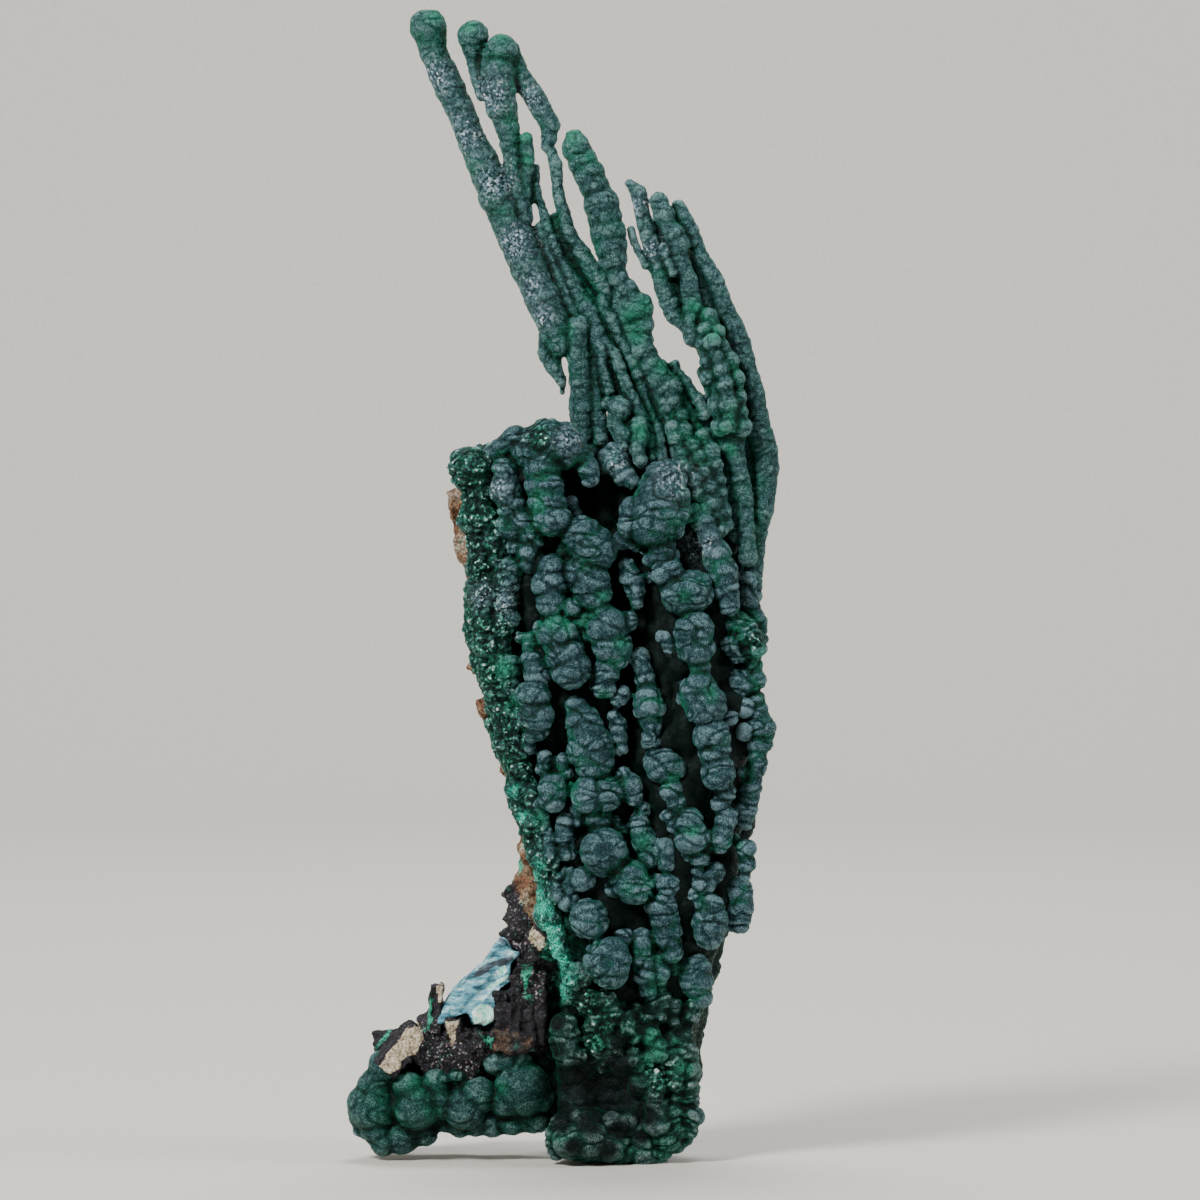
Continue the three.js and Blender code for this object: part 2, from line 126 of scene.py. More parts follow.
def grid_faces(rows, sides):
    """Triangles of a grid of rows that close round on themselves after a number of sides."""
    row, side = np.meshgrid(np.arange(rows - 1), np.arange(sides), indexing="ij")
    here = row * sides + side
    beside = row * sides + (side + 1) % sides
    quads = np.stack([here, beside, beside + sides, here + sides], axis=-1).reshape(-1, 4)
    return np.concatenate([quads[:, [0, 1, 2]], quads[:, [0, 2, 3]]])


def add_object(name, mesh):
    """A new object at the origin, unturned and unscaled, in the scene."""
    piece = bpy.data.objects.new(name, mesh)
    bpy.context.scene.collection.objects.link(piece)
    return piece


print("a grid of 3 rows and 4 sides has", len(grid_faces(3, 4)), "triangles")

# %% [markdown]
# The specimen stands on a sheet of pale paper. A large plane would do for the front, but its edge
# would cut every view like a horizon. So the paper is level round the specimen and curves up far
# away on every side: a profile of a level line, a quarter circle and an upright line, carried round
# the upright axis.

# %% Paper floor
FLOOR_RADIUS, BEND_RADIUS, WALL_TOP = 2000, 700, 2600
FLOOR_SIDES = 96


def floor_profile(turns=20):
    """Distances from the axis and heights: a level line, a quarter circle, an upright line."""
    angle = np.linspace(0, np.pi / 2, turns)
    distance = FLOOR_RADIUS + BEND_RADIUS * np.sin(angle)
    height = BEND_RADIUS * (1 - np.cos(angle))
    return np.concatenate([[1], distance, [distance[-1]]]), np.concatenate([[0], height, [WALL_TOP]])


def paper_bowl():
    """The profile carried round the axis, with a disc of one face in its middle."""
    distance, height = floor_profile()
    turn = np.linspace(0, 2 * np.pi, FLOOR_SIDES, endpoint=False)
    x = distance[:, None] * np.cos(turn)
    y = distance[:, None] * np.sin(turn)
    points = np.stack([x, y, np.broadcast_to(height[:, None], x.shape)], axis=-1).reshape(-1, 3)
    middle = len(points)
    rim = np.arange(FLOOR_SIDES)
    disc = np.stack([rim, (rim + 1) % FLOOR_SIDES, np.full(FLOOR_SIDES, middle)], axis=1)
    faces = np.concatenate([grid_faces(len(distance), FLOOR_SIDES)[:, ::-1], disc])
    return new_mesh("paper_floor", np.concatenate([points, [[0, 0, 0]]]), faces)


floor = add_object("paper_floor", paper_bowl())
floor.data.polygons.foreach_set("use_smooth", np.ones(len(floor.data.polygons), dtype=bool))
print("floor", len(floor.data.polygons), "faces")

# %% [markdown]
# Velvet shows its knobs only when light falls across it. A bare bulb would do that with hard black
# shadows, and a bright sky would flatten everything. So the key is a soft box high on the left, a
# weak one on the right draws the rims, one lights the paper behind, and the sky is faint. The gaps
# between the columns stay dark, and that contrast makes the specimen look deep.

# %% Light
def soft_box(name, place, target, size, watts, colour=(1, 1, 1)):
    """An area light at a place, turned so that it shines at the target, in metres and watts."""
    light = bpy.data.lights.new(name, "AREA")
    light.shape = "DISK"
    light.size = size
    light.energy = watts
    light.color = colour
    lamp = bpy.data.objects.new(name, light)
    lamp.location = place
    lamp.rotation_euler = (Vector(target) - Vector(place)).to_track_quat("-Z", "Y").to_euler()
    bpy.context.scene.collection.objects.link(lamp)


MIDDLE = (0, 0, 0.16)
soft_box("key_light", (-0.64, -0.74, 0.95), MIDDLE, 0.36, 20, (1, 0.98, 0.95))
soft_box("rim_light", (0.85, -0.15, 0.55), MIDDLE, 0.4, 4, (0.93, 0.97, 1))
soft_box("paper_light", (0, 0.7, 2.2), (0, 2.2, 0.5), 1.2, 60)

world = bpy.data.worlds.new("studio")
world.use_nodes = True
world.node_tree.nodes["Background"].inputs["Color"].default_value = (0.8, 0.88, 1, 1)
world.node_tree.nodes["Background"].inputs["Strength"].default_value = 0.08
bpy.context.scene.world = world
print("lights:", [light.name for light in bpy.data.lights])

# %% [markdown]
# The specimen is made of columns, each a string of knobs. They could be placed by hand in the
# viewport, but a list can be read, changed and run again. It holds the depth of the first and last
# knob, then [x, z, radius] of each knob from the top down, in millimetres, read on the plane
# y = 0. A knob at another depth is carried along its line of sight, so it covers the same place.

# %% From a list to knobs
def knobs_of(column):
    """Centres and radii of a column's knobs. The depth runs evenly from the first to the last,
    and x and z grow with distance from the eye as 1 + depth / distance."""
    depths, knobs = column[:2], np.array(column[2:], dtype=float)
    depth = np.linspace(depths[0], depths[1], len(knobs))
    spread = 1 + depth / VIEW_DISTANCE
    height = VIEW_HEIGHT + (knobs[:, 1] - VIEW_HEIGHT) * spread
    return np.stack([knobs[:, 0] * spread, depth, height], axis=1), knobs[:, 2]


SAMPLE_CENTRES, SAMPLE_RADII = knobs_of([-10, -10, [0, 20, 5], [0, 11, 6]])
print("two knobs 10 mm nearer:", SAMPLE_CENTRES.round(2).tolist())

# %% [markdown]
# A column grew knob under knob. It could be a string of spheres, but the real ones have a waist
# between two knobs and not a sharp cut. So a column is one closed tube: a profile of the widest
# sphere at each place, never thinner than a waist, carried along the row of centres.

# %% Beaded tubes
TUBE_SIDES = 20
TUBE_STEP = 0.7
UP, AWAY = np.array([0, 0, 1.0]), np.array([0, 1.0, 0])


def bead_tube(centres, radii, waist=0.6):
    """Radius along the path: the largest of sqrt(r squared - distance squared) over all knobs,
    or waist times the knobs' own radius where that is more. Returns points and triangles."""
    ahead = centres[-1] - centres[0] if len(centres) > 1 else np.array([0, 0, -1.0])
    first = centres[1] - centres[0] if len(centres) > 1 else ahead
    last = centres[-1] - centres[-2] if len(centres) > 1 else ahead
    start = centres[0] - radii[0] * first / np.linalg.norm(first)
    end = centres[-1] + radii[-1] * last / np.linalg.norm(last)
    stops = np.concatenate([[0], np.cumsum(np.linalg.norm(np.diff(centres, axis=0), axis=1))])
    path_stops = np.concatenate([[-radii[0]], stops, [stops[-1] + radii[-1]]])
    path = np.concatenate([[start], centres, [end]])
    rows = max(int((path_stops[-1] - path_stops[0]) / TUBE_STEP), 8)
    along = np.linspace(path_stops[0], path_stops[-1], rows)
    line = np.stack([np.interp(along, path_stops, path[:, axis]) for axis in range(3)], axis=1)

    offset = along[:, None] - stops
    spheres = np.sqrt(np.clip(radii**2 - offset**2, 0, None)).max(axis=1)
    inside = (along > stops[0]) & (along < stops[-1])
    radius = np.maximum(spheres, inside * waist * np.interp(along, stops, radii))

    heading = np.gradient(line, axis=0)
    heading /= np.linalg.norm(heading, axis=1, keepdims=True)
    reference = UP if abs(ahead[1]) > 0.8 * np.linalg.norm(ahead) else AWAY
    side = np.cross(heading, reference)
    side /= np.linalg.norm(side, axis=1, keepdims=True)
    front = np.cross(side, heading)
    turn = np.linspace(0, 2 * np.pi, TUBE_SIDES, endpoint=False)[None, :, None]
    around = np.cos(turn) * side[:, None] + np.sin(turn) * front[:, None]
    points = line[:, None] + radius[:, None, None] * around
    return points.reshape(-1, 3), grid_faces(rows, TUBE_SIDES)


print("their tube has", len(bead_tube(SAMPLE_CENTRES, SAMPLE_RADII)[0]), "points")

# %% [markdown]
# On the real group the columns have grown together. They could be joined with Boolean modifiers,
# but those are slow and often fail on hundreds of touching shells. A voxel remesh is sure and
# quick, because it only asks what is inside and what is outside: it drops everything inside and
# leaves the sharp valleys where two knobs meet. The mesh that comes out has even quads of about
# the voxel's size, good for the fine relief that follows.

# %% Fused skins
SKIN_VOXEL = 0.45


def fused_skin(name, shells, voxel=SKIN_VOXEL):
    """Joins closed shells, given as points and triangles, into one object with even faces."""
    counts = np.cumsum([0] + [len(points) for points, _ in shells])
    points = np.concatenate([points for points, _ in shells])
    faces = np.concatenate([faces + start for (_, faces), start in zip(shells, counts)])
    piece = add_object(name, new_mesh(name + "_shells", points, faces))
    fuse = piece.modifiers.new("fuse", "REMESH")
    fuse.mode = "VOXEL"
    fuse.voxel_size = voxel * MM
    bpy.context.view_layer.update()
    evaluated = piece.evaluated_get(bpy.context.evaluated_depsgraph_get())
    fused = bpy.data.meshes.new_from_object(evaluated)
    shell_mesh = piece.data
    piece.modifiers.clear()
    piece.data = fused
    fused.name = name
    bpy.data.meshes.remove(shell_mesh)
    return piece


print("front skins are fused with voxels of", SKIN_VOXEL, "mm")

# %% [markdown]
# Malachite is botryoidal: round lumps side by side, with creases between. A Displace modifier with
# a texture could raise them, but its height can't be read back for the colours. So the patterns
# are numpy functions that rest on one rule, which gives every cell of a lattice three repeatable
# numbers. From it come round bumps side by side and soft swells, the same on each run.

# %% Repeatable patterns
WORD = 0xFFFFFFFF
MIX = 0x45D9F3B
PRIMES = (73856093, 19349663, 83492791)
SEED_STEP, SALT_STEP = 2654435761, 0x9E3779B9


def scatter(cells, seed):
    """Three numbers from 0 to 1 for each cell: its whole numbers times primes, mixed by shifts
    and products within 32 bits."""
    mixed = (cells * np.array(PRIMES)).sum(axis=-1) + seed * SEED_STEP
    channels = []
    for salt in (1, 2, 3):
        value = (mixed + salt * SALT_STEP) & WORD
        value = ((value ^ (value >> 16)) * MIX) & WORD
        value = ((value ^ (value >> 16)) * MIX) & WORD
        channels.append((value ^ (value >> 16)) / WORD)
    return np.stack(channels, axis=-1)


FAR = 9.0
DOME_REACH = 0.82
CREASE_WIDTH = 0.15


def domes(points, size, seed, crease):
    """Bumps side by side: each cell holds one centre at a scattered place, and the height is
    sqrt(1 - (distance / reach) squared) to the nearest centre, less a crease of
    exp(-(gap / width) squared), where the gap is how much further the second centre is."""
    scaled = points / size
    home = np.floor(scaled).astype(np.int64)
    nearest = np.full(len(points), FAR)
    second = np.full(len(points), FAR)
    for step in np.ndindex(3, 3, 3):
        cell = home + np.array(step) - 1
        distance = ((scaled - cell - scatter(cell, seed)) ** 2).sum(axis=1)
        second = np.minimum(second, np.maximum(nearest, distance))
        nearest = np.minimum(nearest, distance)
    gap = np.sqrt(second) - np.sqrt(nearest)
    height = np.sqrt(np.clip(1 - nearest / DOME_REACH**2, 0, 1))
    return height - crease * np.exp(-((gap / CREASE_WIDTH) ** 2))


def swell(points, size, seed=0):
    """Soft hills from -1 to 1: the numbers of the eight corners of each cell, blended by
    smoothed distances."""
    scaled = points / size
    home = np.floor(scaled).astype(np.int64)
    part = scaled - home
    part = part * part * (3 - 2 * part)
    total = np.zeros(len(points))
    for step in np.ndindex(2, 2, 2):
        weight = np.prod(np.where(np.array(step) == 1, part, 1 - part), axis=1)
        total += weight * scatter(home + np.array(step), seed)[:, 0]
    return 2 * total - 1


print("the numbers of one cell:", scatter(np.array([1, 2, 3]), 1).round(3))

# %% [markdown]
# Rock and coarse crystals break in flat faces instead. Cutting them with planes would take
# hundreds of cuts. The same lattice gives them at once: every point takes the height of its
# nearest cell centre.

# %% Broken faces
def steps(points, size, seed):
    """Broken faces: the scattered number of the nearest cell centre, one height per face."""
    scaled = points / size
    home = np.floor(scaled).astype(np.int64)
    nearest = np.full(len(points), FAR)
    height = np.zeros(len(points))
    for step in np.ndindex(3, 3, 3):
        cell = home + np.array(step) - 1
        numbers = scatter(cell, seed)
        distance = ((scaled - cell - numbers) ** 2).sum(axis=1)
        closer = distance < nearest
        nearest = np.where(closer, distance, nearest)
        height = np.where(closer, numbers[:, 0], height)
    return height


SAMPLE_LINE = np.linspace(0, 20, 200)[:, None] * (1, 0.3, 0.7)
print("faces along 20 mm:", len(np.unique(steps(SAMPLE_LINE, 3.4, 2))))

# %% [markdown]
# Malachite lumps are wider than tall, as each grew over the one below it, and no two are alike.
# Even domes would look machined. So their places are first pushed about by soft swells and pressed
# in height, and long folds run between them.

# %% Wrinkles
FOLD_WIDTH = 0.13
FOLD_PRESS = 2.2


def warped(points, size, reach, seed):
    """The points, each pushed by three soft swells of a size, up to a reach in millimetres."""
    pushes = [swell(points, size, seed + axis) for axis in range(3)]
    return points + reach * np.stack(pushes, axis=1)


def wrinkles(points, wide, tall, seed, crease=0.5):
    """Domes of a width and a height, side by side, from about -1 in the creases to 0.4."""
    return domes(points * (1, 1, wide / tall), wide, seed, crease) - 0.6


def folds(points, size, seed):
    """Long thin valleys, mostly level: exp(-(swell / width) squared), so that a line runs
    wherever a soft swell passes zero."""
    return np.exp(-((swell(points * (1, 1, FOLD_PRESS), size, seed) / FOLD_WIDTH) ** 2))


sample_wrinkles = wrinkles(SAMPLE_LINE, 7.5, 4, 3)
print("wrinkles run from", sample_wrinkles.min().round(2), "to", sample_wrinkles.max().round(2))

# %% [markdown]
# A skin is shaped by moving each point along its normal. Sculpting could do it, but not twice the
# same, so the tools below read a mesh into arrays, smooth it, and write it back. The difference
# between a surface and its smoothed copy tells hills from valleys, and the materials read that as
# an attribute for painted light: the valleys get painted shade and more green, the tops a grey
# painted sheen.

# %% Reading and shaping a skin
def read_skin(piece):
    """Points in millimetres, normals and edges of a piece's mesh."""
    mesh = piece.data
    points = np.empty(len(mesh.vertices) * 3, dtype=np.float32)
    normals = np.empty_like(points)
    edges = np.empty(len(mesh.edges) * 2, dtype=np.int32)
    mesh.vertices.foreach_get("co", points)
    mesh.vertices.foreach_get("normal", normals)
    mesh.edges.foreach_get("vertices", edges)
    return points.reshape(-1, 3).astype(float) / MM, normals.reshape(-1, 3), edges.reshape(-1, 2)


def write_skin(piece, points):
    """Points in millimetres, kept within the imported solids' box, back into the mesh."""
    low, high = np.array(cad_box[0]) / MM, np.array(cad_box[1]) / MM
    inside = np.clip(points, low, high)
    piece.data.vertices.foreach_set("co", (inside * MM).astype(np.float32).ravel())
    piece.data.update()


def smoothed(values, edges, rounds):
    """Each round moves a value halfway to the mean of its neighbours along the edges."""
    here = np.concatenate([edges[:, 0], edges[:, 1]])
    there = np.concatenate([edges[:, 1], edges[:, 0]])
    count = np.maximum(np.bincount(here, minlength=len(values)), 1)
    for _ in range(rounds):
        sums = [np.bincount(here, weights=column[there], minlength=len(values)) for column in values.T]
        values = 0.5 * (values + np.stack(sums, axis=1) / count[:, None])
    return values


def add_attribute(piece, name, values):
    """One number for each point of the mesh, which a material can read."""
    attribute = piece.data.attributes.new(name, "FLOAT", "POINT")
    attribute.data.foreach_set("value", values.astype(np.float32))


def hills(points, normals, edges, width, reach):
    """From 0 in a valley to 1 on a hill: the height over the smoothed surface, in units of
    reach, round one half. Smoothing spreads by an edge length times the root of its rounds, so
    the rounds follow from the width in millimetres."""
    length = np.linalg.norm(points[edges[:, 0]] - points[edges[:, 1]], axis=1).mean()
    rounds = max(int((width / length) ** 2), 2)
    height = ((points - smoothed(points, edges, rounds)) * normals).sum(axis=1)
    return np.clip(0.5 + 0.5 * height / reach, 0, 1)


print("skins stay within", (np.array(cad_box) / MM).round(1).tolist(), "mm")

# %% [markdown]
# Some places differ from their surroundings: pods of bright green malachite, druses of coarser
# crystals, turquoise crusts, painted glints, and black crust with painted shadow. They could be
# painted on by hand, but a short list is easier to check. A soft place is a spot [x, z, radius] in
# the picture, and a crisp one is an outline of [x, z] corners. Both mark the points behind them that
# face the viewer.

# %% Spots and patches
RAG_SIZE, RAG_REACH, RAG_SEED = 2.2, 0.7, 51


def near_spots(points, normals, spots):
    """The largest of exp(-distance squared / radius squared) over all spots, seen from the
    front, times how far the point faces the viewer."""
    strength = np.zeros(len(points))
    for x, z, radius in spots:
        distance = (points[:, 0] - x) ** 2 + (points[:, 2] - z) ** 2
        strength = np.maximum(strength, np.exp(-distance / radius**2))
    return strength * np.clip(0.6 - normals[:, 1], 0, 1)


def within(points, normals, outlines):
    """1 inside any outline and 0 outside, by counting the edges to the right of a point: an odd
    number means inside. The edges are made ragged by pushing the points about first."""
    ragged = warped(points, RAG_SIZE, RAG_REACH, RAG_SEED)
    x, z = ragged[:, 0], ragged[:, 2]
    anywhere = np.zeros(len(points), dtype=bool)
    for outline in outlines:
        inside = np.zeros(len(points), dtype=bool)
        for (x0, z0), (x1, z1) in zip(outline, outline[1:] + outline[:1]):
            crossing = x0 + (z - z0) * (x1 - x0) / (z1 - z0 if z1 != z0 else 1e-6)
            inside ^= ((z0 > z) != (z1 > z)) & (x < crossing)
        anywhere |= inside
    return (anywhere & (normals[:, 1] < 0.3)).astype(float)


print("rag of outlines: up to", RAG_REACH, "mm")

# %% [markdown]
# The spots themselves were read from the front. Pods sit where a column has kept growing, turquoise
# runs down the left edge to the foot, painted glints lie on tops that catch the light, and black
# crust with painted shadow fills the hollow in the base. They overlap freely, because the strongest
# one counts at each point.

# %% Places of pods, crusts, glints and soot
VIVID = [
    [-30, 138, 3.5], [0.8, 196, 2.4], [-24, 280, 2.2], [-24, 287, 2.6], [-27, 300, 2.6], [34, 208, 3],
    [8, 204, 3], [8.5, 90, 3], [34, 89.5, 2], [11, 35, 3.6], [13, 31.5, 3], [10, 29, 2.4],
    [5.6, 236, 3.4], [7, 231, 2.6], [-2.3, 130, 2], [-20, 96.5, 2.2], [18, 55, 2.4], [12, 50, 3],
    [17.5, 33, 2.4], [19, 189, 2.4], [24, 183, 2.6], [20, 27, 3], [-28, 128, 2], [-50, 321, 2.4],
    [-39.6, 317.6, 2.2], [-31, 315, 2.6], [-11, 287, 2.6], [-6, 281, 2.2], [22.8, 239, 2.4],
    [28, 231.5, 2.4], [41, 140, 3], [30.6, 203, 2.6], [33, 199, 2.2], [14, 222, 2.6], [9, 239, 3],
    [22, 93, 1.6], [-16, 45, 2], [-54, 22, 3.4], [-50, 14, 2.6], [-31, 21, 2], [21, 197, 2.2],
    [-2.5, 158, 2], [2.5, 145, 2.2], [-17, 150.5, 2], [-4, 34, 2], [5, 22, 2], [20, 158, 2],
]
TURQUOISE = [
    [-19, 71, 2.6], [-17, 66, 3], [-15.5, 61, 3.2], [-13.5, 57, 2.6], [-18.5, 58, 3], [-21, 75, 2],
    [-22, 80, 1.6], [-24.5, 60, 1.6], [-23.5, 51, 2.2], [-20, 84, 1.4], [-12.6, 52, 2], [-25, 97, 1.4],
    [-27, 104, 1.6], [-13.4, 48, 1.6],
]
# Painted glints: pale spots on tops and flanks that the key light catches.
PAINTED_GLINTS = [
    [17.4, 191, 4.6], [1.3, 195.7, 3.4], [-31.4, 188, 2.6], [-12.4, 201.4, 3.2], [-29.6, 156.7, 3],
    [24.4, 172, 3.4], [-36, 158, 3], [-50, 304, 5], [-42, 287, 6], [-34, 298, 5], [-33, 274, 5],
    [-27, 257, 5], [-22.6, 245, 4], [-19.6, 236, 3], [-24, 297, 4], [7, 268, 3], [11, 256, 3],
]
# Black manganese crust, and painted shadow: the hollow in the base and the ball below it lie in shade.
SOOT_AND_SHADE = [
    [-10, 22, 6], [-4, 19, 7], [3, 20, 5.5], [-14, 15, 3.6], [9, 14, 3.4], [1, 27, 5], [-8, 27, 3.4],
    [-15.6, 24, 5], [-16, 32, 3], [-15.6, 40, 2.6], [2, 34, 2.6], [-14, 12, 3], [-6, 12.6, 4],
    [2, 10, 3.4], [8, 8, 2.4], [-11, 6, 2.4], [-1, 5, 2.6],
]
print("vivid spots:", len(VIVID), "turquoise:", len(TURQUOISE), "silver:", len(PAINTED_GLINTS), "soot:", len(SOOT_AND_SHADE))

# %% [markdown]
# The left branch group is a fan of bent rods. Their knobs sit so close that a rod looks almost
# smooth, with fine rings across. Curves with a bevel could make such rods, but not the rings. So
# they are columns too: thick round ones, and thin ones that lie between and behind them.

# %% Left branches
WING_LEFT = [
    [7, 2, [-51.5, 317.3, 5.3], [-50, 310, 4.1], [-47.5, 305, 4.3], [-45, 300, 4.4], [-42.8, 295, 4.1],
     [-40.8, 290, 4], [-38.8, 285, 4.3], [-36.3, 280, 4.8], [-34.5, 275, 5], [-32.8, 270, 5.2]],
    [3, 0, [-30, 266, 5.4], [-26.5, 258, 5.6], [-23, 250, 5.6], [-19.5, 242, 5.5], [-16.5, 235, 5.2],
     [-15.2, 229, 4.6]],
    [1, -1, [-17.3, 226, 3.3], [-16.2, 222, 2.5], [-14.2, 218, 1.4]],
    [3, 1, [-39, 315, 4.5], [-38.5, 308, 2.6], [-37.8, 303.5, 2.2], [-36, 299, 2.4]],
    [0, 1, [-31, 311, 4.5], [-34.6, 308.5, 3], [-32, 305, 5], [-31.5, 300, 5], [-30.8, 295, 4.6],
     [-29.4, 290, 3.7], [-28.7, 285, 3.1], [-27.8, 280, 2.9], [-27.5, 275, 3], [-26, 270, 2.9],
     [-24.8, 264, 2.7]],
    [-1, 1, [-23.8, 286, 2.3], [-23.7, 280, 1.9], [-24, 275, 1.6], [-24, 270, 1.7], [-23.5, 264, 1.8]],
    [2, -1, [-21.7, 278, 1.4], [-20.8, 270, 1.5], [-19, 265, 1.6], [-18, 260, 1.9], [-15.5, 254, 2],
     [-13.5, 251, 2], [-11, 246, 2.4], [-9, 241, 2.5], [-6.5, 237, 2.5], [-4.5, 232, 2.6], [-3, 228, 2.6],
     [-2.5, 222, 1.8], [-0.8, 216, 2]],
    [1, -1, [-20.5, 262, 1.3], [-16.3, 251, 1.6], [-13, 243, 1.7], [-11, 238, 1.6], [-8, 231, 1.7]],
    [3, 2, [-29, 311, 3], [-25.6, 303, 3.2], [-22, 298, 3.2], [-19.6, 294, 3.3], [-17.4, 290.2, 3.2],
     [-17.8, 286.5, 2.6], [-18.4, 284, 1.8]],
    [2, 1, [-17.2, 283, 1.5], [-15.8, 279, 1.8], [-15.5, 275, 1.7], [-15, 270, 1.8], [-13.5, 265, 2.1],
     [-12, 260, 2.3], [-10, 257, 2.2], [-8.5, 254, 2.9], [-6, 250, 2.7], [-4, 247, 2.7], [-2, 243.5, 2.2],
     [-2.4, 238, 1.8], [0, 235.5, 2.1], [2.5, 230, 2], [5.5, 225, 2.2], [7.6, 220, 2.4]],
    [0, -3, [8, 217, 1.8], [10.5, 210, 1.7], [12.5, 206, 1.5], [13.5, 202, 1.5], [14, 197, 1.6]],
    [1, -2, [8.8, 219, 2], [11.5, 216, 1.9], [13.5, 210, 1.8], [15.5, 205, 2], [17.3, 200, 1.9],
     [18.5, 195, 1.5], [20.5, 190, 1.5], [22, 185, 1.4]],
    [-1, -3, [-3.4, 230, 1.7], [0.5, 226, 1.7], [2, 222, 1.8], [4, 217, 2], [6.5, 212, 2], [8.4, 208, 2],
     [10.2, 202, 1.9], [10.9, 197, 1.9]],
    [-2, 0, [-9.7, 234, 3], [-10.2, 229, 3], [-9.6, 225, 3.3], [-8.9, 218, 3.3], [-8.6, 211, 3.4],
     [-8.3, 204, 3.2]],
    [3, 1, [-16.2, 264, 1.6], [-14.8, 259, 2], [-12.2, 252, 2.1], [-9.8, 247, 2.1], [-7.2, 242, 2.2],
     [-5, 238, 2.3], [-2.6, 233, 2.3], [-0.6, 228, 2.2], [1.4, 222, 2.2], [3.6, 216, 2.2],
     [5.4, 210, 2.2], [7, 204, 2.2]],
    [3, -1, [-2.4, 249, 1.5], [-0.4, 245, 1.9], [1.6, 240, 2.2], [3.4, 235, 2.4], [5.4, 230, 2.4],
     [8, 225, 2.4], [10.4, 220, 2.4], [13, 215, 2.4], [14.8, 210, 2.4], [16.6, 205, 2.4],
     [18.8, 199, 2.2], [20.8, 194, 2]],
    [1, -1, [-6.4, 232, 2], [-5.8, 226, 2.2], [-5.2, 220, 2.2], [-4.4, 214, 2.2], [-3.8, 208, 2.2],
     [-3, 202, 2.2]],
    [1, -1, [1, 224, 1.8], [2.4, 218, 2], [4.2, 212, 2.2], [5.4, 206, 2.2], [7, 200, 2.2], [9, 195, 2]],
    [-1, 0, [-18.4, 231, 2.6], [-18.8, 227, 2.4], [-17.4, 224, 2.2]],
    [-1, -1, [-14, 233, 3], [-13.8, 229, 2.4]], [1, 1, [-13.8, 219.6, 1], [-13.9, 215, 0.8]],
    [-2, -5, [-1.2, 212, 2], [2.5, 211, 3.5], [1, 206.4, 2.6], [2.5, 203.6, 2.9], [3, 200.4, 2]],
    [5, 4, [-9, 249, 2], [-6.4, 246, 2.6], [-4, 241, 2.6], [-2, 236, 2.6]],
    [3, 2, [6, 223, 2.2], [6.8, 217, 2.6], [7.6, 211, 2.2]],
    [3, 2, [-1, 220, 2.2], [0.4, 214.6, 2.5], [1.2, 209, 2.4]],
    [3, 2, [-6, 213, 2.2], [-6, 206, 2.6], [-5.4, 200, 2.8]],
    [4, 2, [1.4, 208, 2.6], [3.6, 204, 2.6], [4.6, 199.6, 2.8], [4.8, 195, 2.6]],
    [4, 4, [2.4, 227, 2], [4.4, 221.8, 2.4], [6, 217, 2.4]],
    [-4, -6, [7.4, 206, 2.8], [8, 202.5, 2.4], [7, 199, 2.3], [8, 196, 2.1]],
]
print("left branches:", len(WING_LEFT), "rods")

# %% [markdown]
# The middle branch is one thick string of knobs that hides the feet of its neighbours, and the
# right ones are long thin rods that close the fan with a smooth outer curve. Each fork could be one
# long list, but three lists keep the forks apart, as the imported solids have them.

# %% Middle and right branches
WING_MIDDLE = [
    [4, -4, [-10.6, 286.3, 2.7], [-10, 283.4, 4.2], [-8.2, 279.6, 4.3], [-6.5, 276.3, 4.6],
     [-5, 273, 4.4], [-3, 268, 5.2], [-2.2, 264, 5], [-1.5, 260, 5.3], [-0.6, 256, 4.8],
     [0.2, 252.5, 4.3], [1.8, 247.4, 2.9], [4.4, 244, 3.1], [7, 239, 4.6], [8.5, 234, 3.3],
     [8.6, 229.5, 3.1], [10.5, 226, 2.5], [13, 222, 3.1], [15, 218, 3.4], [16, 213.5, 3.4],
     [18.5, 209, 3.1], [21, 204, 2.7], [23.5, 199, 2.5], [25, 194, 2.6], [26, 189, 2.3],
     [25.6, 185.8, 2.1], [28, 182, 2.3]],
    [0, -3, [17.5, 223, 1.8], [20.5, 218, 2.1], [24, 213.4, 1.9], [26, 209, 2]],
    [-1, -3, [19, 214, 2.2], [22, 208, 2.4], [25, 203, 2.4], [27, 198, 2.4], [28.4, 192, 2.4],
     [29.2, 186, 2.4], [30, 180, 2.4]],
]
